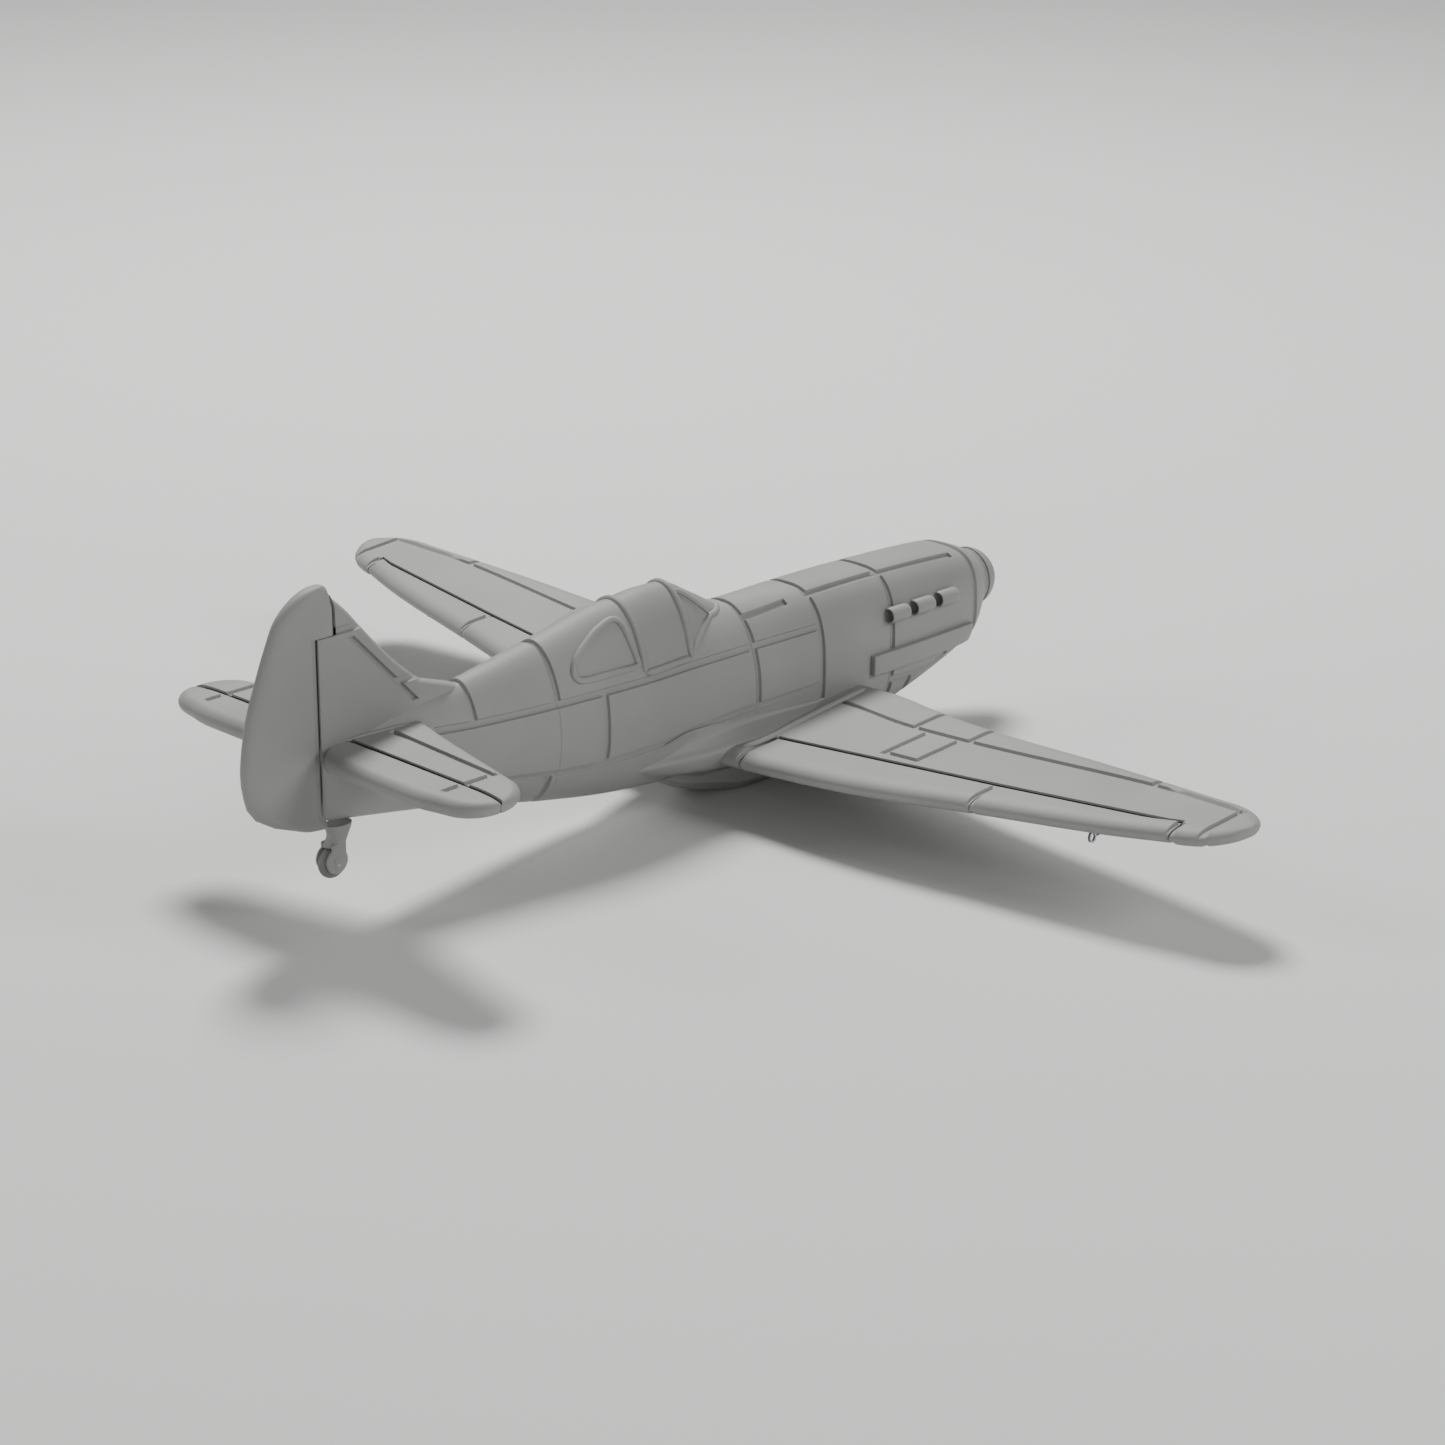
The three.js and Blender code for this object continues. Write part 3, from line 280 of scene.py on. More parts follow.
def build(bm, name, body, finish, nodes=(), slot="airframe_shell", sharp=38, wall=0, outward=None):
    """Makes a finished piece of a bmesh: doubles merged, faces outwards, in metres, riding on its body."""
    bmesh.ops.remove_doubles(bm, verts=bm.verts, dist=MERGE)
    bmesh.ops.dissolve_degenerate(bm, edges=bm.edges, dist=0.002)
    bmesh.ops.recalc_face_normals(bm, faces=bm.faces)
    if outward:
        turn = sum(f.normal.dot(f.calc_center_median() - Vector(outward)) * f.calc_area() for f in bm.faces)
        if turn < 0:
            bmesh.ops.reverse_faces(bm, faces=bm.faces)
    for f in bm.faces:
        f.smooth = True
    for e in bm.edges:
        e.smooth = not (len(e.link_faces) == 2 and e.calc_face_angle(0) > math.radians(sharp))
    bmesh.ops.scale(bm, vec=(MM, MM, MM), verts=bm.verts)
    mesh = bpy.data.meshes.new(name)
    bm.to_mesh(mesh)
    bm.free()
    mesh.materials.append(finish)
    piece = bpy.data.objects.new(name, mesh)
    bpy.context.scene.collection.objects.link(piece)
    if wall:
        skin = piece.modifiers.new("wall", "SOLIDIFY")
        skin.thickness, skin.offset = wall * MM, -1
    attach(piece, body)
    if nodes:
        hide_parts(*nodes)
    return piece


def mirrored(bm):
    copy = bm.copy()
    bmesh.ops.scale(copy, vec=(1, -1, 1), verts=copy.verts)
    bmesh.ops.reverse_faces(copy, faces=copy.faces)
    return copy


def both_sides(bm, name, body, finish, nodes=(), **more):
    """The same piece on the port side and, mirrored, on the starboard side."""
    other = mirrored(bm)
    for side, shape in (("left", bm), ("right", other)):
        where = body.replace("SIDE", side)
        build(shape, f"{name}_{side}", where, finish, [f"{n}_{side}" for n in nodes], **more)


# The groove between two panels: its share of the full depth at each distance from its middle.
GROOVE_STOPS = [(0.0, 1.0), (0.7, 1.0), (1.2, 1.0), (1.4, 0.85), (1.52, 0.15), (1.66, 0.0), (2.3, 0.0)]
GROOVE_DEPTH = 1.25
BAND = GROOVE_STOPS[-1][0]
OFFSETS = sorted({s * o for o, _ in GROOVE_STOPS for s in (1, -1)})


def groove(distance):
    """How deep the groove is that far from its middle."""
    distance = abs(distance)
    for (a, da), (b, db) in zip(GROOVE_STOPS, GROOVE_STOPS[1:]):
        if distance <= b:
            return (da + (db - da) * (distance - a) / (b - a)) * GROOVE_DEPTH
    return 0.0


LINE_END = 0.2  # half the length over which a groove comes to its end
CLOSEST = 0.45  # no plain stop stands nearer than this to a groove's stop


def stations(start, end, step, marks, ends=()):
    """Stops from start to end, closer together about each groove mark and at each groove's end."""
    special = {m + o for m in marks for o in OFFSETS if start <= m + o <= end} | {start, end}
    for e in ends:
        if all(abs(e - m) > BAND for m in marks):
            special |= {v for v in (e - LINE_END, e + LINE_END) if start <= v <= end}
    plain = [s for s in spread(start, end, step) if all(abs(s - m) > CLOSEST for m in special)]
    return sorted(special | set(plain))


def tube(path, radii, sides=10, closed=False, up=None):
    """A bead that follows a path, its second radius turned towards up(point), with rounded ends."""
    n = len(path)

    def place(i, j):
        k = i % n
        before, after = ((k - 1) % n, (k + 1) % n) if closed else (max(k - 1, 0), min(k + 1, n - 1))
        along = (path[after] - path[before]).normalized()
        high = up(path[k]) if up else Vector((0, 0, 1))
        wide = along.cross(high).normalized()
        high = wide.cross(along)
        turn = 2 * math.pi * j / sides
        fade = 1.0 if closed else min(1.0, math.sqrt(min(k, n - 1 - k) / 2.0) + 0.05)
        return path[k] + (wide * math.cos(turn) * radii[0] + high * math.sin(turn) * radii[1]) * fade

    bm = grid(n + 1 if closed else n, sides + 1, place)
    bmesh.ops.remove_doubles(bm, verts=bm.verts, dist=MERGE)
    if not closed:
        close_ends(bm)
    return bm


def through(points, step=2.0):
    """Evenly spread points on a smooth curve through the given ones."""
    pts = [Vector(p) for p in points]
    lengths = [0.0]
    for a, b in zip(pts, pts[1:]):
        lengths.append(lengths[-1] + (b - a).length)
    lines = [smooth(*((s, p[axis]) for s, p in zip(lengths, pts))) for axis in range(3)]
    return [Vector([line(s) for line in lines]) for s in spread(0, lengths[-1], step)]


# ---------------------------------------------------------------- body shells
SPINNER_TIP, BACKPLATE_X, COWL_JOINT = 205, 192, 174
RING_5, RING_4, RING_3, ARCH_FRONT, ARCH_REAR = 121, 79, 41.5, 8, -19
RING_2, RING_1, STERN = -63, -101.5, -170
HALF_WIDTH, THRUST_Z, SPINNER_RADIUS, RAIL_Z = 22.3, 54.5, 13, 66
FIN_HALF, STERN_BOTTOM, HATCH_HALF, WINDSCREEN_FOOT = 4, 40, 12, 36.5
WALL = 1.2  # how thick a moulded shell is
MID_TAIL = (STERN + RING_1) / 2
NOSE_END = BACKPLATE_X - 2

hull_half = smooth((STERN, FIN_HALF), (MID_TAIL, 8), (RING_1, 13), (RING_2, 18), (ARCH_REAR, 21),
                   (RING_3, HALF_WIDTH), (RING_5, HALF_WIDTH - 0.2), (COWL_JOINT, HALF_WIDTH - 1.6),
                   (NOSE_END, SPINNER_RADIUS))
hull_top = smooth((STERN, 72), (MID_TAIL, 76), (RING_1, 79), (RING_2, 85.5), (ARCH_REAR, 92.5),
                  (ARCH_FRONT, 80), (RING_3, 78.5), (RING_4, 77.5), (RING_5, 76.3), (COWL_JOINT, 73.5),
                  (NOSE_END, THRUST_Z + SPINNER_RADIUS))
hull_widest = smooth((STERN, 55), (RING_1, 52), (ARCH_REAR, 46), (RING_3, 44), (RING_5, 46),
                     (COWL_JOINT, 50), (NOSE_END, THRUST_Z))
hull_bottom = smooth((STERN, STERN_BOTTOM), (RING_1, 28.5), (RING_2, 19.5), (ARCH_REAR, 12.5),
                     (RING_3, 8.5), (RING_4, 9), (RING_5, 13.5), (150, 21.5), (COWL_JOINT, 31),
                     (NOSE_END, THRUST_Z - SPINNER_RADIUS))
hull_power = smooth((STERN, 2.2), (RING_1, 2), (ARCH_REAR, 2), (RING_3, 2.1), (RING_4, 2.6), (RING_5, 3),
                    (COWL_JOINT, 3), (NOSE_END, 2))
canopy_top = smooth((ARCH_REAR, 92.5), (-4, 94), (ARCH_FRONT, 93.6), (22, 87),
                    (WINDSCREEN_FOOT, 78.6))
low_line = smooth((STERN, 44), (-90, 38), (-43, 33.8), (-13, 34.4), (10, 37), (38, 38), (RING_4, 38))
upper_line = smooth((-119, 65), (-100, 64), (RING_2, 63.5), (RING_3, 63), (RING_4, 63))


def hull_at(x, angle, top=hull_top):
    """A point on the body's section, with the angle running from the keel to the crown."""
    c, s = math.cos(angle), math.sin(angle)
    power = 2 / hull_power(x)
    rise = top(x) - hull_widest(x) if s > 0 else hull_widest(x) - hull_bottom(x)
    z = hull_widest(x) + rise * math.copysign(abs(s) ** power, s)
    return Vector((x, hull_half(x) * abs(c) ** power, z))


def hull_angle(x, kind, value, top=hull_top):
    """The angle round the section at which the skin passes a height z or a half width y."""
    power = hull_power(x) / 2
    amount = value(x) if callable(value) else value
    if kind == "y":
        return math.acos(min(1, (amount / hull_half(x)) ** power))
    offset = amount - hull_widest(x)
    rise = top(x) - hull_widest(x) if offset > 0 else hull_widest(x) - hull_bottom(x)
    return math.copysign(math.asin(min(1, (abs(offset) / rise) ** power)), offset)


def hull_normal(x, angle, top=hull_top):
    """The way the skin faces, from small steps along it and round it."""
    along = hull_at(x + 0.2, angle, top) - hull_at(x - 0.2, angle, top)
    low, high = max(angle - 0.02, -math.pi / 2), min(angle + 0.02, math.pi / 2)
    around = hull_at(x, high, top) - hull_at(x, low, top)
    return around.cross(along).normalized()


KEEL_STEPS, PANEL_STEPS, BODY_STEP = 26, 14, 3.2


def hull_skin(x0, x1, features, rings=(), lines=(), holes=(), top=hull_top, start=None):
    """Half a shell between two stations, mirrored. Features are lines along the skin, from the bottom up.
    A ring is (x, from, to) and a line (feature, x from, x to), both grooves. The bottom counts as
    feature -1 and the top as the one after the last. A hole is (x from, x to, feature from, feature to),
    and the skin begins at the feature named by start."""
    n = len(features)
    slots = []
    for k in range(-1, n):
        steps = KEEL_STEPS if k == -1 else PANEL_STEPS
        first = 0 if k == -1 else 1
        last = steps + 1 if k == n - 1 else steps
        slots += [("mix", k, i / steps) for i in range(first, last)]
        if k + 1 < n:
            slots += [("band", k + 1, o) for o in (OFFSETS if features[k + 1][2] else [0.0])]
    marks = [r[0] for r in rings]
    ends = [e for line in lines for e in line[1:]] + [e for h in holes for e in h[:2]]
    xs = stations(x0, x1, BODY_STEP, marks, ends)
    columns = {}

    def column(i):
        if i in columns:
            return columns[i]
        x = xs[i]
        angles = [hull_angle(x, kind, value, top) for kind, value, _ in features]

        def edge(k, side):
            if k in (-1, n):
                return math.pi / 2 if k == n else -math.pi / 2
            if not features[k][2]:
                return angles[k]
            return angles[k] + side * BAND / metric(k)

        def metric(k):
            return (hull_at(x, angles[k] + 0.01, top) - hull_at(x, angles[k] - 0.01, top)).length / 0.02

        points = []
        for j, (kind, k, amount) in enumerate(slots):
            if kind == "band":
                angle = angles[k] + (amount / metric(k) if amount else 0)
            else:
                a, b = edge(k, 1), edge(k + 1, -1)
                angle = a + (b - a) * amount
            depth = 0.0
            for mark, low, high in rings:
                if low <= slot_pos(j) <= high:
                    depth = max(depth, groove(x - mark))
            for feature, a, b in lines:
                if kind == "band" and k == feature and a <= x <= b:
                    depth = max(depth, groove(amount))
            point = hull_at(x, angle, top)
            if depth:
                point = point - hull_normal(x, angle, top) * depth
            points.append(point)
        columns[i] = points
        return points

    def slot_pos(j):
        kind, k, amount = slots[j]
        return k + (amount * 0.001 if kind == "band" else 0.05 + 0.9 * amount)

    def drop(i, j):
        x, pos = (xs[i] + xs[i + 1]) / 2, (slot_pos(j) + slot_pos(j + 1)) / 2
        if start is not None and pos < start:
            return True
        return any(a < x < b and low < pos < high for a, b, low, high in holes)

    bm = grid(len(xs), len(slots), lambda i, j: column(i)[j], drop)
    half = bm.verts[:] + bm.edges[:] + bm.faces[:]
    bmesh.ops.mirror(bm, geom=half, matrix=Matrix(), merge_dist=MERGE, axis="Y")
    return bm


# A feature is a height z or a half width y, and whether a groove may run along it.
LOW, UP = ("z", low_line, True), ("z", upper_line, True)
RAIL, SHOULDER = ("z", RAIL_Z, False), ("y", HATCH_HALF, True)
nose_low = smooth((RING_5, 29.5), (146, 28.6), (158, 32.8), (COWL_JOINT, 40))
NOSE_LOW = ("z", nose_low, True)


def make_shells():
    axis = lambda x: (x, 0, 50)
    build(hull_skin(STERN, RING_2, [LOW, UP], rings=[(RING_1, 1, 2), (RING_2, 1, 2), (RING_2 - 4, -1, 0)],
                    lines=[(0, -90, RING_2), (1, -119, RING_2)]),
          "tail_shell", "airframe", BODY, ["tail_section"], wall=WALL, outward=axis(-115))
    build(hull_skin(RING_2, RING_3, [LOW, UP, RAIL],
                    rings=[(RING_2, 1, 3), (-40, 0, 1), (RING_3, 0, 3)],
                    lines=[(0, RING_2, RING_3), (1, RING_2, RING_3)],
                    holes=[(ARCH_REAR, ARCH_FRONT, 2, 3)]),
          "cockpit_shell", "airframe", BODY, ["cockpit_section"], wall=WALL, outward=axis(-10))
    build(hull_skin(RING_3, RING_5, [LOW, UP, SHOULDER],
                    rings=[(RING_3, 0, 3), (RING_4, -1, 3), (RING_5, -1, 3)],
                    lines=[(0, RING_3, RING_4), (1, RING_3, RING_4), (2, RING_3, 67), (2, RING_4, RING_5)],
                    holes=[(RING_4, RING_5, 2, 3)]),
          "centre_shell", "airframe", BODY, ["centre_section"], wall=WALL, outward=axis(80))
    build(hull_skin(RING_5, COWL_JOINT, [NOSE_LOW, SHOULDER],
                    rings=[(RING_5, -1, 2), (134, -1, 0), (COWL_JOINT, -1, 2)],
                    lines=[(0, RING_5, 158), (1, RING_5, 167)]),
          "nose_shell", "airframe", BODY, ["nose_section"], wall=WALL, outward=axis(150))
    build(hull_skin(COWL_JOINT, NOSE_END, [("y", 10, False)], rings=[(COWL_JOINT, -1, 1)]),
          "cowl_nose_ring", "airframe", BODY, ["cowl_ring"], wall=WALL, outward=axis(180))
    hatch = hull_skin(RING_4 + 0.25, RING_5 - 0.25, [("y", HATCH_HALF - 0.25, True)],
                      rings=[(RING_4, 0, 1), (RING_5, 0, 1)], lines=[(0, RING_4, RING_5)], start=0.0)
    build(hatch, "battery_hatch_lid", "battery_hatch", BODY, ["battery_hatch"], wall=WALL,
          outward=(100, 0, 0))


make_shells()


# ---------------------------------------------------------------- canopy, its frames and the rear windows
SCREEN_WIDE, SCREEN_FOOT_HALF, STRUT_TOP_HALF = 28, 7.5, 6
BEAD = (1.5, 1.3)  # half the width and the height of a window frame


def rail_half(x, top=hull_top):
    """Half the body's width at the canopy rail."""
    return hull_at(x, hull_angle(x, "z", RAIL_Z, top), top).y


def hood_at(x, share):
    """A point over the canopy: share runs from 0 at the rail to 1 at the crown."""
    rail = hull_angle(x, "z", RAIL_Z, canopy_top)
    point = hull_at(x, rail + (math.pi / 2 - rail) * share, canopy_top)
    point.y *= rail_half(x) / rail_half(x, canopy_top)
    return point


def screen_base(x):
    """Half the windscreen's width where it stands on the deck."""
    if x <= SCREEN_WIDE:
        share = (x - ARCH_FRONT) / (SCREEN_WIDE - ARCH_FRONT)
        return rail_half(ARCH_FRONT) + (SCREEN_FOOT_HALF - rail_half(ARCH_FRONT)) * share
    share = (x - SCREEN_WIDE) / (WINDSCREEN_FOOT - SCREEN_WIDE)
    return SCREEN_FOOT_HALF * math.sqrt(max(0, 1 - share ** 2))


def screen_at(x, share):
    """A point over the windscreen: the hood's front section, drawn in towards its foot."""
    shape, half = hood_at(ARCH_FRONT, share), screen_base(x)
    foot = hull_at(x, hull_angle(x, "y", half)).z - 0.4
    high = (shape.z - RAIL_Z) / (canopy_top(ARCH_FRONT) - RAIL_Z)
    return Vector((x, half * shape.y / rail_half(ARCH_FRONT), foot + max(0.4, canopy_top(x) - foot) * high))


def over_the_top(surface, x0, x1, steps, sides=24):
    """A skin from rail to rail."""
    xs = spread(x0, x1, (x1 - x0) / steps)

    def place(i, j):
        side = j / sides - 1
        point = surface(xs[i], 1 - abs(side))
        return Vector((point.x, math.copysign(point.y, -side), point.z))

    return grid(len(xs), 2 * sides + 1, place)


def arch(surface, x, steps=40):
    """Points from one rail over the crown to the other."""
    half = [surface(x, i / steps) for i in range(steps + 1)]
    return half + [Vector((p.x, -p.y, p.z)) for p in reversed(half[:-1])]


def outwards(point):
    return Vector((0, point.y, max(point.z - 50, 1))).normalized()


def flip(path):
    return [Vector((p.x, -p.y, p.z)) for p in path]


def strut_at(x):
    """Where the corner strut of the windscreen passes a station, from the arch down to the deck."""
    along = (x - ARCH_FRONT) / (SCREEN_WIDE - ARCH_FRONT)
    half = STRUT_TOP_HALF + (SCREEN_FOOT_HALF - STRUT_TOP_HALF) * along
    low, high = 0.0, 1.0
    for _ in range(24):
        middle = (low + high) / 2
        low, high = (middle, high) if screen_at(x, middle).y > half else (low, middle)
    return screen_at(x, low)


WINDOW_SHIFT = 3  # how far ahead of its drawn outline the rear window stands


def make_canopy():
    build(over_the_top(hood_at, ARCH_REAR, ARCH_FRONT, 10), "canopy_hood_shell", "airframe", BODY,
          ["canopy_hood"], wall=WALL, outward=(0, 0, 60))
    frames = tube(arch(hood_at, ARCH_REAR + 0.5), BEAD, up=outwards)
    join_into(frames, tube(arch(hood_at, ARCH_FRONT), BEAD, up=outwards))
    for side in (lambda p: p, flip):
        rail = [hood_at(x, 0.0) for x in spread(ARCH_REAR, ARCH_FRONT, 1.5)]
        join_into(frames, tube(side(rail), BEAD, up=outwards))
    build(frames, "canopy_frames", "airframe", BODY, outward=(-5, 0, 60))
    screen = over_the_top(screen_at, ARCH_FRONT, WINDSCREEN_FOOT - 0.05, 16)
    build(screen, "windscreen_shell", "airframe", BODY, ["windscreen"], wall=WALL, outward=(15, 0, 60))
    strut = [strut_at(x) for x in spread(ARCH_FRONT, SCREEN_WIDE, 1.5)]
    foot = [screen_at(x, 0.0) for x in spread(ARCH_FRONT, SCREEN_WIDE, 1.5)]
    foot += [screen_at(SCREEN_WIDE + (WINDSCREEN_FOOT - SCREEN_WIDE) * math.sin(a), 0.0)
             for a in spread(0.15, math.pi / 2, 0.15)]
    frames = tube(foot + flip(foot[-2::-1]), BEAD, up=outwards)
    for side in (lambda p: p, flip):
        join_into(frames, tube(side(strut), BEAD, up=outwards))
    build(frames, "windscreen_frames", "airframe", BODY, outward=(15, 0, 60))
    outline = through([
        (-24.3, 0, 70.3), (-25.8, 0, 79), (-27.2, 0, 86.6), (-30, 0, 88.0), (-38, 0, 86.2), (-47, 0, 82),
        (-54, 0, 77), (-56, 0, 73), (-54, 0, 70.4), (-48, 0, 69.7), (-36, 0, 69.7), (-27, 0, 69.7),
        (-24.3, 0, 70.3)], 1.2)[:-1]
    window = [hull_at(p.x + WINDOW_SHIFT, hull_angle(p.x + WINDOW_SHIFT, "z", p.z)) for p in outline]
    bead = tube(window, BEAD, closed=True, up=outwards)
    both_sides(bead, "rear_window_frame", "airframe", BODY, ["rear_window"], outward=None)


make_canopy()

# ---------------------------------------------------------------- wings, tail and their moving surfaces
SHOULDER_DROP, HINGE_HALF, RUN = 1.0, 1.5, 0.5
NOWHERE = -1000  # a chord station behind everything
CLOSURE = 20  # points round a nose, a tail or a hinge
SPAN_STEP, CHORD_STEPS, TIP_TURN = 5.0, 6, 0.12


def surface(half_span, tip, tip_x, lead, trail, thick, mid, nose, tail, place, power=2.0):
    """A tapering blade: chord lines, thickness and mid line, and the way its points lie in space."""
    def share(s):
        t = max(0.0, (s - (half_span - tip)) / tip)
        return max(0.0, 1 - t ** power) ** (1 / power)

    def ends(s):
        k = share(s)
        return tip_x + (trail(s) - tip_x) * k, tip_x + (lead(s) - tip_x) * k

    def depth(x, s):
        rear, front = ends(s)
        chord = (x - rear) / max(front - rear, 0.001)
        return thick(min(max(chord, 0), 1), s) * math.sqrt(share(s))

    return dict(ends=ends, depth=depth, mid=mid, nose=nose, tail=tail, place=place, span=half_span, tip=tip)


def blade(s, start, end, hinge, hinged=(), moving=False, lines=(), ribs=(), horn=None, clamp=None,
          under=0):
    """The skin of a blade from one span station to another. In the hinged spans a fixed blade ends at the
    hinge in a hollow and a moving one starts there with a round nose; elsewhere it runs to its own edge.
    A line is (chord line, from, to) and a rib (station, from, to), both grooves. Beyond horn, given as
    (station, x), a moving blade reaches forward to x, and beyond clamp, given so too, a fixed one ends at
    x. Under is how far behind the hinge the underside of a moving blade starts."""
    marks = [r[0] for r in ribs]
    stops = stations(start, end, SPAN_STEP, marks, [v for line in lines for v in line[1:]])
    tip_from = s["span"] - s["tip"]
    if end > tip_from:
        stops = [v for v in stops if v <= tip_from + 0.1 or any(abs(v - m) <= BAND + 0.01 for m in marks)]
        stops += [tip_from + s["tip"] * math.sin(a) for a in spread(TIP_TURN, math.pi / 2, TIP_TURN)]
        stops = sorted(v for v in set(stops) if v <= end + 1e-9)
        stops = [v for k, v in enumerate(stops) if k == 0 or v - stops[k - 1] > 0.02]
    edges = [v for span in hinged for v in span if start < v < end] + ([horn[0]] if horn else [])
    rows = []
    for v in sorted(set(stops) | set(edges)):
        if v in edges:
            rows += [(v, -1), (v, 1)]
        else:
            rows.append((v, 0))

    def loop(v, side):
        rear, front = s["ends"](v)
        chord = front - rear
        nose, tail = min(s["nose"], chord / 2.5), min(s["tail"], chord / 2.5)
        lo, hi = rear + tail, front - nose
        probe = v + side * 0.001
        cut = any(a < probe < b for a, b in hinged)
        forward = horn is not None and probe > horn[0]
        clamped = clamp is not None and probe > clamp[0]
        axis = min(max(hinge(v), lo), hi)
        thick = lambda x: s["depth"](x, v)
        round_at = thick(axis) / 2
        points = []

        def bands(a, b, count, wanted):
            """Stops between two chord stations, with the bands of the lines wanted."""
            low, high = min(a, b), max(a, b)
            groups = [[min(max(line(v) + o, low), high) for o in OFFSETS] for line, _, _ in wanted]
            groups, out = [[a]] + groups + [[b]], []
            for before, after in zip(groups, groups[1:]):
                out += before[:-1] + spread_by(before[-1], after[0], count)[:-1]
            return out + [b]

        near = axis + HINGE_HALF * (-1 if moving else 1)
        near = min(max(near, lo), hi)
        if moving:
            limit = min(horn[1], hi) if forward else near
            xs = bands(lo, near, CHORD_STEPS, lines) + [near + (limit - near) * k / 3 for k in (1, 2, 3)]
        else:
            first = near if cut else lo
            if clamped:
                first = near = min(clamp[1], hi)
            xs = [first + (near - first) * k / 4 for k in range(4)] + bands(near, hi, CHORD_STEPS, lines)
        top = [(x, thick(x) / 2, 0, 1) for x in xs]
        if moving and not forward:
            radius = max(0.3, round_at - SHOULDER_DROP)
            reach = min(HINGE_HALF, radius * 0.9)
            first = math.pi - math.acos(reach / radius)
            closing = [(axis + radius * math.cos(a), radius * math.sin(a), 0, 0)
                       for a in (first - 2 * first * k / (CLOSURE - 1) for k in range(CLOSURE))]
        elif moving:
            half = thick(xs[-1]) / 2
            closing = [(min(xs[-1] + nose * math.cos(a), max(horn[1], xs[-1])), half * math.sin(a), 0, 0)
                       for a in (math.pi / 2 - math.pi * (k + 1) / (CLOSURE + 1) for k in range(CLOSURE))]
        else:
            half = thick(hi) / 2
            closing = [(hi + nose * math.cos(a), half * math.sin(a), math.cos(a), math.sin(a))
                       for a in (math.pi / 2 - math.pi * (k + 1) / (CLOSURE + 1) for k in range(CLOSURE))]
        lower = [min(x, axis - under) if under else x for x in reversed(xs)]
        bottom = [(x, -thick(x) / 2, 0, -1) for x in lower]
        if not moving and cut:
            radius = max(0.5, round_at - SHOULDER_DROP + RUN)
            reach = min(HINGE_HALF, radius * 0.9)
            first = math.acos(reach / radius)
            ending = [(axis + radius * math.cos(a), radius * math.sin(a), 0, 0)
                      for a in (-first + 2 * first * k / (CLOSURE - 1) for k in range(CLOSURE))]
        elif clamped:
            half = thick(near) / 2
            ending = [(near, -half + 2 * half * k / (CLOSURE - 1), 0, 0) for k in range(CLOSURE)]
        else:
            half = thick(lo) / 2
            ending = [(lo - tail * math.cos(a), half * math.sin(a), -math.cos(a), math.sin(a))
                      for a in (-math.pi / 2 + math.pi * (k + 1) / (CLOSURE + 1) for k in range(CLOSURE))]
        least = clamp[1] if clamped else NOWHERE
        most = thick(hi) / 2 * math.sqrt(max(0, 1 - max(0, (least - hi) / max(nose, 0.01)) ** 2))
        for x, h, nx, nh in top + closing + bottom + ending:
            if x < least:
                x, h = least, max(-most, min(most, h))
            drop = 0.0
            if nx or nh:
                for line, a, b in lines:
                    if a <= v <= b and nh in (1, -1):
                        drop = max(drop, groove(x - line(v)))
                for mark, a, b in ribs:
                    if a(v) <= x <= b(v):
                        drop = max(drop, groove(v - mark))
            drop = min(drop, abs(h) * 0.6) * (abs(nh) if nx else 1)
            points.append(s["place"](x - nx * drop, v, s["mid"](x, v, thick(x)) + h - nh * drop))
        return points

    loops = [loop(v, side) for v, side in rows]
    count = len(loops[0])
    bm = grid(len(loops), count + 1, lambda i, j: loops[i][j % count])
    bmesh.ops.remove_doubles(bm, verts=bm.verts, dist=MERGE)
    close_ends(bm)
    return bm


def straight(*pairs):
    """Straight pieces through (x, value) pairs."""
    def value(x):
        for (a, va), (b, vb) in zip(pairs, pairs[1:]):
            if x <= b or (b, vb) == pairs[-1]:
                return va + (vb - va) * (x - a) / (b - a)
    return value


FLAP_ROOT, FLAP_END, AILERON_END, WING_SPAN = 36, 147, 230, 253.5


def wing_thick(chord, y):
    out = y / 254
    return (8.6 - 1.2 * out) * (1 - chord) + (14.5 - 5 * out) * chord


def wing_top(x, y):
    return 27.6 + 0.066 * (x - 46) + 0.059 * abs(y)


def wing_mid(x, y, thick):
    """The wing's middle: level under its top, and drawn up less in the rounded tip."""
    if y <= AILERON_END:
        return wing_top(x, y) - thick / 2
    full = wing_thick(min(max((x - 30) / 60, 0), 1), y)
    return wing_top(x, y) - (thick + full) / 4


FLAP, AILERON = (FLAP_ROOT, FLAP_END), (FLAP_END, AILERON_END)
HINGED = (FLAP_ROOT, AILERON_END + 0.6)
wing = surface(
    WING_SPAN, 24, 68, smooth((0, 108), (36, 107), (75, 99.5), (108, 95), (163, 91.5), (230, 85)),
    smooth((0, 15.8), (40, 15.8), (81, 18), (150, 30), (204, 40), (230, 47)), wing_thick, wing_mid, 8, 8,
    lambda x, y, z: Vector((x, y, z)))
wing_hinge = smooth((0, 36), (32, 37.9), (147, 46.4), (230, 54))
spar_line = smooth((20, 83.6), (28, 83), (75.6, 76), (105.6, 75.6), (196, 78.2), (242.8, 75.3), (254, 74))
flap_hinge = straight(*((y, wing_hinge(y)) for y in FLAP))
aileron_hinge = straight(*((y, wing_hinge(y)) for y in AILERON))
both_hinges = lambda y: flap_hinge(y) if y <= FLAP_END else aileron_hinge(min(y, 236))
LEAD, NEVER = (lambda y: -NOWHERE), (lambda y: NOWHERE)  # a groove that runs out over either edge
forward_rib = lambda y: (y, lambda v: spar_line(v) - 1.2, LEAD)
aft_rib = lambda y: (y, NEVER, lambda v: spar_line(v) + 1.2)


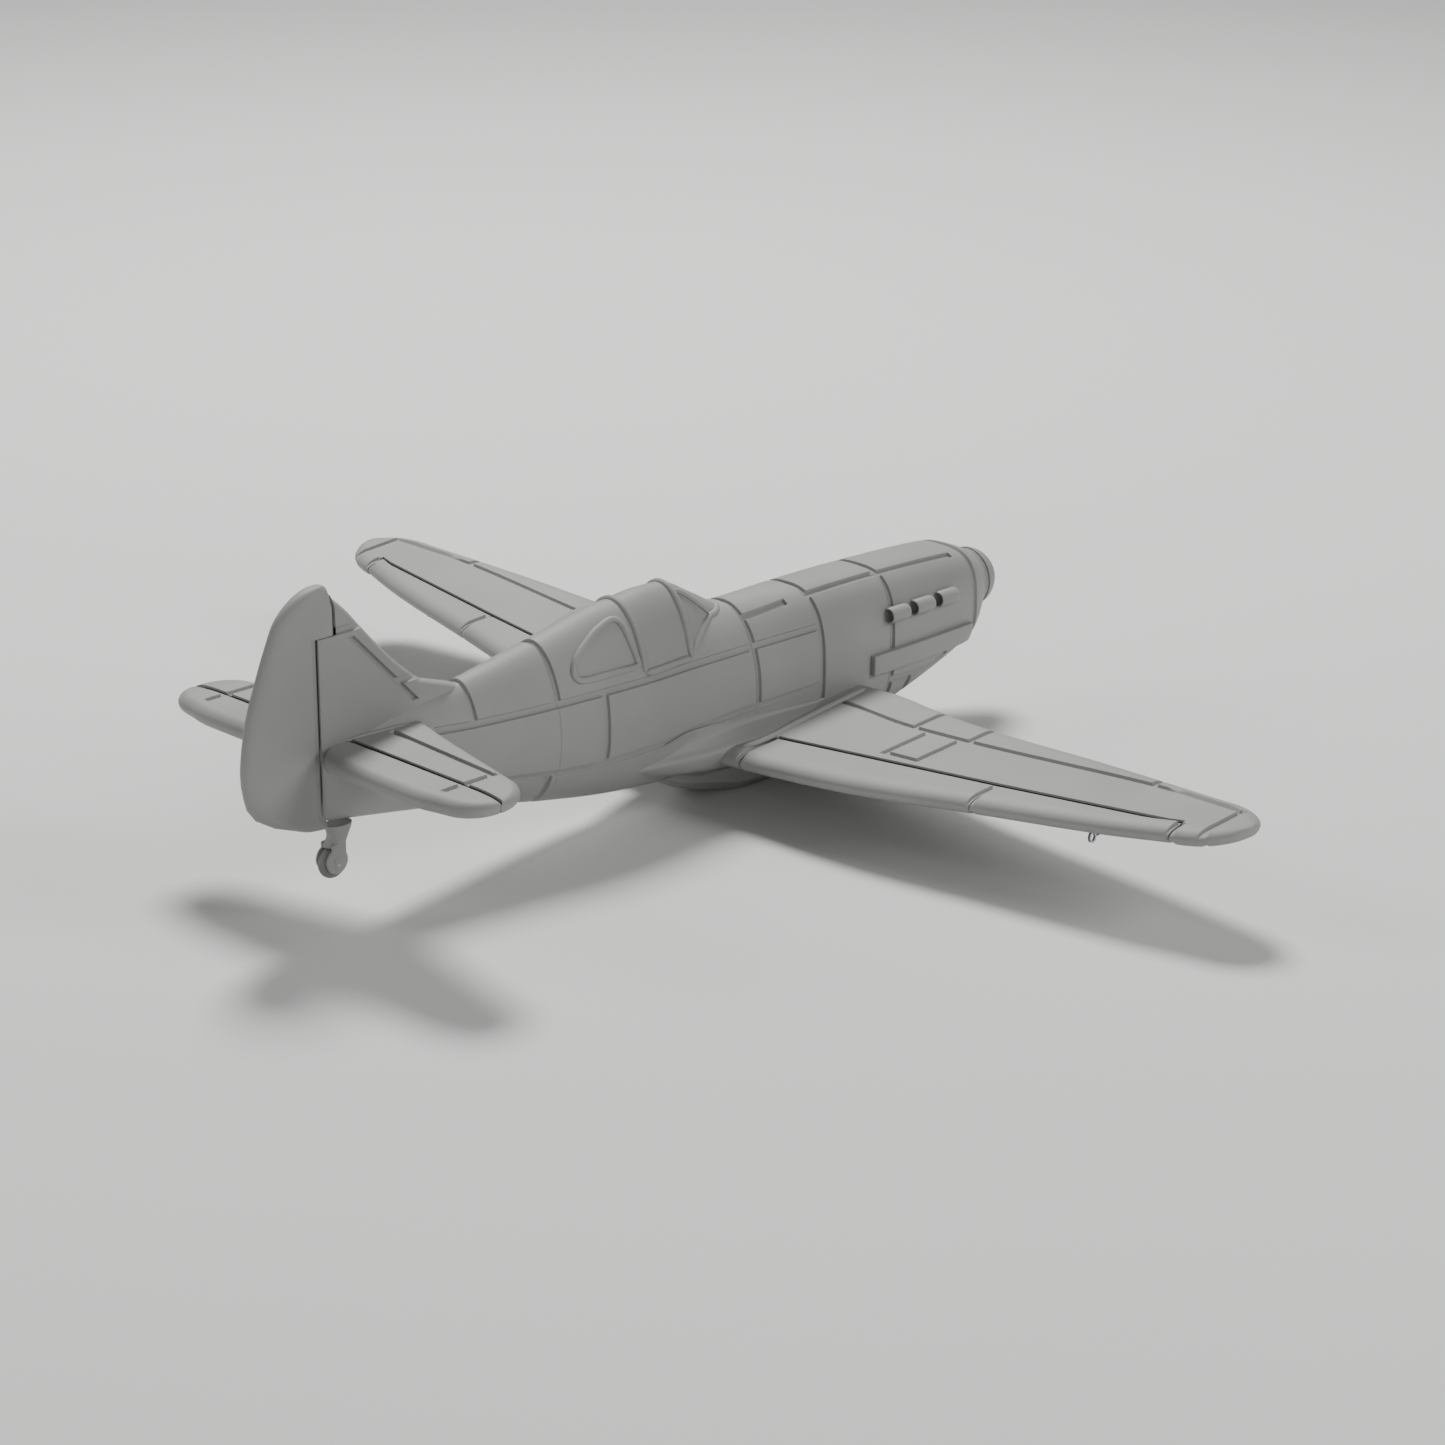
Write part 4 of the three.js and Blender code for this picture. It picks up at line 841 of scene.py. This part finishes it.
FLAP_UNDER = 3.3  # how far behind the hinge the flap's underside starts, to clear the wing when it drops
ROOT_GAP = 1.15  # the flap's swept hinge carries its root inwards as it drops


def make_wings():
    gap, tip_joint, panel_x, panel_y = 0.3, 242.5, 49, (85, 102)
    end_ribs = [(y, NEVER, wing_hinge) for y in HINGED] + [aft_rib(tip_joint)]
    front, panel = (spar_line, 28, tip_joint), [(lambda v: panel_x, *panel_y)]
    panel_ribs = [(y, lambda v: panel_x - 1.2, spar_line) for y in panel_y]
    port = blade(wing, 3, WING_SPAN, both_hinges, [HINGED], lines=[front],
                 ribs=[forward_rib(197)] + end_ribs)
    ribs = [forward_rib(y) for y in (75.6, 105.5, 197)] + panel_ribs + end_ribs
    starboard = blade(wing, 3, WING_SPAN, both_hinges, [HINGED], lines=panel + [front], ribs=ribs)
    build(port, "wing_skin_left", "airframe", BODY, ["wing_left"])
    build(mirrored(starboard), "wing_skin_right", "airframe", BODY, ["wing_right", "gun_panel_right"])
    for name, (a, b), line in (("flap", FLAP, flap_hinge), ("aileron", AILERON, aileron_hinge)):
        ends = [(a, NEVER, LEAD), (b, NEVER, LEAD)]
        root = a + (ROOT_GAP if name == "flap" else gap)
        skin = blade(wing, root, b - gap, line, [(0, 300)], moving=True, ribs=ends,
                     under=FLAP_UNDER if name == "flap" else 0)
        both_sides(skin, f"{name}_skin", f"{name}_SIDE", BODY, [name])


make_wings()

ELEVATOR_HINGE, RUDDER_HINGE, HORN_Z = -157.5, -171.5, 112.5
FIN_WALL, HORN_FRONT = -161.5, -163  # the two sides of the gap ahead of the rudder's horn
TAIL_SPAN, TAIL_Z, FIN_TOP = 89.5, 66.25, 131.7
ELEVATOR_ROOT, ROOT_CUT_X, ROOT_CUT_SLOPE = 6, -166, 16 / 34  # cut back to clear the rudder
tail = surface(
    TAIL_SPAN, 16, -158, smooth((0, -119), (6, -122), (74, -139)),
    smooth((0, -173), (24, -175.5), (60, -175.5), (74, -173)), lambda c, y: 8.5 - 0.012 * y,
    lambda x, y, t: TAIL_Z, 4.5, 5, lambda x, y, z: Vector((x, y, z)))
fin = surface(
    FIN_TOP, 14, -166, smooth((40, -98), (76, -100), (80, -106), (81.5, -113), (84.5, -119.5), (126, -160)),
    smooth((40, -178), (43, -191), (47, -198), (54, -203), (66, -204.9), (83, -202.5), (102, -196),
           (118, -189), (130, -183.5)), lambda c, z: 8, lambda x, z, t: 0, 5, 9,
    lambda x, z, y: Vector((x, y, z)), power=2.3)


def make_tail():
    front = (lambda v: -140 - 3.5 * max(0, v - 8.5) / 60.5, 8.5, 69)
    ribs = [(69, NEVER, lambda v: -142.3)]
    beads = through([(-159, 3.9, 69.9), (-150, 4.8, 70.3), (-138, 6, 70.3), (-126, 7.2, 69.5)], 2)
    both_sides(tube(beads, (0.9, 0.8)), "tailplane_root_bead", "airframe", BODY)
    skin = blade(tail, 2, TAIL_SPAN, lambda v: ELEVATOR_HINGE, [(0, 90)], lines=[front], ribs=ribs)
    both_sides(skin, "tailplane_skin", "airframe", BODY, ["tailplane"])
    skin = blade(tail, ELEVATOR_ROOT, TAIL_SPAN, lambda v: ELEVATOR_HINGE, [(0, 90)], moving=True,
                 ribs=[(69, lambda v: -166, LEAD)])
    for v in skin.verts:
        v.co.y = max(v.co.y, ELEVATOR_ROOT + max(0, ROOT_CUT_X - v.co.x) * ROOT_CUT_SLOPE)
    both_sides(skin, "elevator_skin", "elevator", BODY, ["elevator"])
    strip = straight((75.2, -121.5), (109.8, -154.3))
    fin_skin = blade(fin, 60, 127.6, lambda v: RUDDER_HINGE, [(0, HORN_Z)], clamp=(HORN_Z, FIN_WALL),
                     lines=[(strip, 78, 109.8)], ribs=[(87.3, strip, LEAD), (113.6, NEVER, LEAD)])
    build(fin_skin, "fin_skin", "airframe", BODY, ["fin"])
    rudder_skin = blade(fin, 38, FIN_TOP, lambda v: RUDDER_HINGE, [(0, HORN_Z)], moving=True,
                        horn=(HORN_Z, HORN_FRONT))
    build(rudder_skin, "rudder_skin", "rudder", BODY, ["rudder"])


make_tail()


# ---------------------------------------------------------------- wing root fairings and the scoop
FAIRING, FAIRING_STEP = (-29, 111), 3.5
fair_high = smooth((-29, 26), (-21, 28.6), (-8.5, 33.7), (5.4, 36.5), (39, 35.1), (75, 32.2), (111, 29.6))
fair_crease = smooth((-29, 24), (-24, 27), (12, 29), (37, 31.5), (84, 30.5), (111, 28.6))
fair_wide = smooth((-29, 13), (-5, 21), (12, 26.5), (25, 29), (36, 32), (60, 30.5), (95, 27.5), (111, 21.5))
fair_low = smooth((-29, 22), (0, 18), (30, 17), (80, 18), (111, 22))


def fairing_at(x, share):
    """Round the fairing: from the body down over the crease to the wing and back below."""
    high = Vector((x, hull_at(x, hull_angle(x, "z", fair_high(x))).y - 0.3, fair_high(x)))
    wide, low = fair_wide(x), fair_low(x)
    crease = Vector((x, min(24.5, wide - 2.5), fair_crease(x)))
    edge = Vector((x, wide, min(wing_top(x, wide) - 1.5 if x > 20 else crease.z - 3, crease.z - 1.5)))
    under = Vector((x, wide - 6, low))
    inner = Vector((x, 8, low + 0.5))
    stops = [high, high.lerp(crease, 0.5) + Vector((0, -0.9, -0.5)), crease, edge, under, inner]
    at = [0, 0.2, 0.4, 0.6, 0.85, 1.0]
    lines = [smooth(*((a, p[axis]) for a, p in zip(at, stops))) for axis in (1, 2)]
    return Vector((x, lines[0](share), lines[1](share)))


def make_fairings():
    xs, sides = spread(*FAIRING, FAIRING_STEP), 32

    def place(i, j):
        if j == sides + 1:
            return Vector((xs[i], 6, fair_high(xs[i]) - 2))
        return fairing_at(xs[i], j / sides if j <= sides else 0)

    skin = grid(len(xs), sides + 3, place)
    bmesh.ops.remove_doubles(skin, verts=skin.verts, dist=MERGE)
    close_ends(skin)
    both_sides(skin, "root_fairing", "airframe", BODY)
    lip = [(x, y, wing_top(x, y) + 0.1) for x, y in (
        (22, 31.2), (24, 32.6), (30, 33.8), (38, 33.6), (48, 32), (58, 30.6), (70, 29.4), (85, 28.4),
        (99, 27.6))]
    bead = tube(through(lip, 2), (1.5, 1.2), up=lambda p: Vector((0, 0, 1)))
    both_sides(bead, "fairing_lip", "airframe", BODY)


make_fairings()

# ---------------------------------------------------------------- spinner, exhausts, side strips
STUB_X, STUB_Z, STUB_RADIUS, STUB_LENGTH = (123.5, 139, 154.5), 59.0, 3.4, 12.5


def spun(profile, sides=64):
    """A profile of (x, radius) pairs turned about the thrust axis."""
    def place(i, j):
        x, radius = profile[i]
        turn = 2 * math.pi * j / sides
        return Vector((x, radius * math.cos(turn), THRUST_Z + radius * math.sin(turn)))

    bm = grid(len(profile), sides + 1, place)
    bmesh.ops.remove_doubles(bm, verts=bm.verts, dist=MERGE)
    return bm


def make_nose():
    from_x, length, thick, steps = BACKPLATE_X + 0.35, SPINNER_TIP - BACKPLATE_X - 0.45, 1.4, 26
    outer = [(from_x, SPINNER_RADIUS - 0.5), (from_x + 0.15, SPINNER_RADIUS - 0.14)]
    for t in (k / steps for k in range(1, steps + 1)):
        outer.append((from_x + length * t, SPINNER_RADIUS * (1 - t ** 1.7) ** 0.66))
    inner = [(x - thick, r - 1.3) for x, r in reversed(outer) if r > 1.3 and x - thick > from_x]
    profile = outer + [(outer[-1][0] - thick, 0)] + inner + [(from_x, SPINNER_RADIUS - 1.8), outer[0]]
    build(spun(profile), "spinner_shell", "spinner", BODY, ["spinner"], outward=(196, 0, THRUST_Z))


def make_exhausts():
    bm = bmesh.new()
    for x in STUB_X:
        y = hull_half(x) + 0.9
        rear, front = x - STUB_LENGTH / 2, x + STUB_LENGTH / 2
        profile = [(front, 0), (front - 0.5, 2.0), (front - 1.6, STUB_RADIUS - 0.35)]
        profile += [(front - 3, STUB_RADIUS)]
        profile += [(rear + 0.5, STUB_RADIUS), (rear + 0.1, STUB_RADIUS - 0.2), (rear, STUB_RADIUS - 0.5)]
        profile += [(rear + 0.2, STUB_RADIUS - 0.8), (rear + 4.5, STUB_RADIUS - 1.1), (rear + 5, 0)]
        stub = spun(profile, 32)
        bmesh.ops.translate(stub, vec=(0, y, STUB_Z - THRUST_Z), verts=stub.verts)
        join_into(bm, stub)
    both_sides(bm, "exhaust_stubs", "airframe", BODY, ["exhaust"])


def make_side_strips():
    x0, x1, z0, z1, proud = 108.0, 171.0, 34.8, 43.6, 2.3

    def skin_y(x, z):
        return hull_at(x, hull_angle(x, "z", z)).y

    bm = bmesh.new()
    xs, zs = spread(x0, x1, 3), spread(z0, z1, 1.1)
    outer = grid(len(xs), len(zs), lambda i, j: Vector((xs[i], skin_y(xs[i], zs[j]) + proud, zs[j])))
    join_into(bm, outer)
    made = bmesh.ops.extrude_face_region(bm, geom=bm.faces[:])
    for v in (g for g in made["geom"] if isinstance(g, bmesh.types.BMVert)):
        v.co.y -= proud + 1.5
    bmesh.ops.recalc_face_normals(bm, faces=bm.faces)
    corners = []
    for edge in bm.edges:
        x, y, z = edge.verts[0].co
        if edge.calc_face_angle(0) > 1.0 and y > skin_y(min(max(x, x0), x1), min(max(z, z0), z1)) + 0.5:
            corners.append(edge)
    bmesh.ops.bevel(bm, geom=corners, offset=0.5, affect="EDGES", segments=3, profile=0.5, material=-1)
    both_sides(bm, "side_strip", "airframe", BODY, ["side_fairing"])


make_nose()
make_exhausts()
make_side_strips()


# ---------------------------------------------------------------- tail wheel
WHEEL_X, WHEEL_Z, WHEEL_RADIUS, WHEEL_WIDTH = -164, 22, 6.2, 4.2


def make_tail_wheel():
    half = WHEEL_WIDTH / 2
    tread = [(0, 1.35), (half - 0.7, 1.35), (half - 0.3, 1.7), (half - 0.3, 3.2), (half - 0.05, 3.6),
             (half, 4.3), (half - 0.25, 5.2), (half - 0.9, 5.9), (half - 1.5, WHEEL_RADIUS - 0.02),
             (0, WHEEL_RADIUS)]
    loop, sides = [(-y, r) for y, r in reversed(tread)] + tread[1:-1], 48

    def place(i, j):
        y, radius = loop[j % len(loop)]
        turn = 2 * math.pi * i / sides
        return Vector((WHEEL_X + radius * math.cos(turn), y, WHEEL_Z + radius * math.sin(turn)))

    build(grid(sides + 1, len(loop) + 1, place), "tailwheel_tyre", "tailwheel", TYRE, ["tailwheel"],
          slot="wheel_rubber")




def make_leg():
    """The leg and the two round cheeks that hold the wheel between them."""
    levels = [(37.0, -160.5, 6.0, 4.1), (35.6, -160.5, 5.7, 4.0), (33.4, -160.7, 4.7, 3.8),
              (31.2, -161.4, 4.3, 3.7), (29.8, -162.2, 4.5, 3.7), (28.8, -162.8, 4.9, 3.7)]
    middle, long, wide = (smooth(*((level[0], level[k]) for level in levels)) for k in (1, 2, 3))
    zs, sides = spread(28.8, 37.0, 0.55), 40

    def place(i, j):
        turn = 2 * math.pi * j / sides
        x = middle(zs[i]) + long(zs[i]) * math.cos(turn)
        return Vector((x, wide(zs[i]) * math.sin(turn), zs[i]))

    leg = grid(len(zs), sides + 1, place)
    bmesh.ops.remove_doubles(leg, verts=leg.verts, dist=MERGE)
    close_ends(leg)
    rim = [(2.62, 0), (2.62, 4.6), (2.75, 4.95), (3.1, 5.15), (3.4, 5.05), (3.66, 4.7), (3.7, 4.3),
           (3.7, 1.9), (3.95, 1.6), (3.95, 0)]
    cheek_z, arm_size, arm_x, arm_y, arm_z = WHEEL_Z + 1.2, (6.6, 1.06, 5.0), -163.0, 3.15, 27.6
    for side in (1, -1):
        def turned(i, j, side=side):
            y, radius = rim[i]
            angle = 2 * math.pi * j / sides
            x, z = WHEEL_X + radius * math.cos(angle), cheek_z + radius * math.sin(angle)
            return Vector((x, side * y, z))

        cheek = grid(len(rim), sides + 1, turned)
        bmesh.ops.remove_doubles(cheek, verts=cheek.verts, dist=MERGE)
        join_into(leg, cheek)
        arm = bmesh.new()
        bmesh.ops.create_cube(arm, size=1)
        bmesh.ops.scale(arm, vec=arm_size, verts=arm.verts)
        bmesh.ops.bevel(arm, geom=arm.edges[:], offset=0.35, affect="EDGES", segments=2, profile=0.5,
                        material=-1)
        bmesh.ops.translate(arm, vec=(arm_x, side * arm_y, arm_z), verts=arm.verts)
        join_into(leg, arm)
    build(leg, "tailwheel_leg_shroud", "tailwheel_fork", BODY, ["tailwheel_leg"])


make_tail_wheel()
make_leg()


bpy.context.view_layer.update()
FLOOR = bpy.data.meshes.new("floor")
sheet = bmesh.new()
bmesh.ops.create_grid(sheet, x_segments=1, y_segments=1, size=6)
sheet.to_mesh(FLOOR)
sheet.free()
paper, tree, shader, place = material("pale_studio_paper", "#dcdcda", 0.9)
bump(tree, shader, grain(tree, place, 2.5).outputs["Fac"], 0.05, 0.3)
FLOOR.materials.append(paper)
floor = bpy.data.objects.new("floor", FLOOR)
floor.location.z = -0.0005
bpy.context.scene.collection.objects.link(floor)
world = bpy.data.worlds.new("studio")
world.use_nodes = True
world.node_tree.nodes["Background"].inputs["Color"].default_value = (0.86, 0.88, 0.9, 1)
world.node_tree.nodes["Background"].inputs["Strength"].default_value = 0.16
bpy.context.scene.world = world
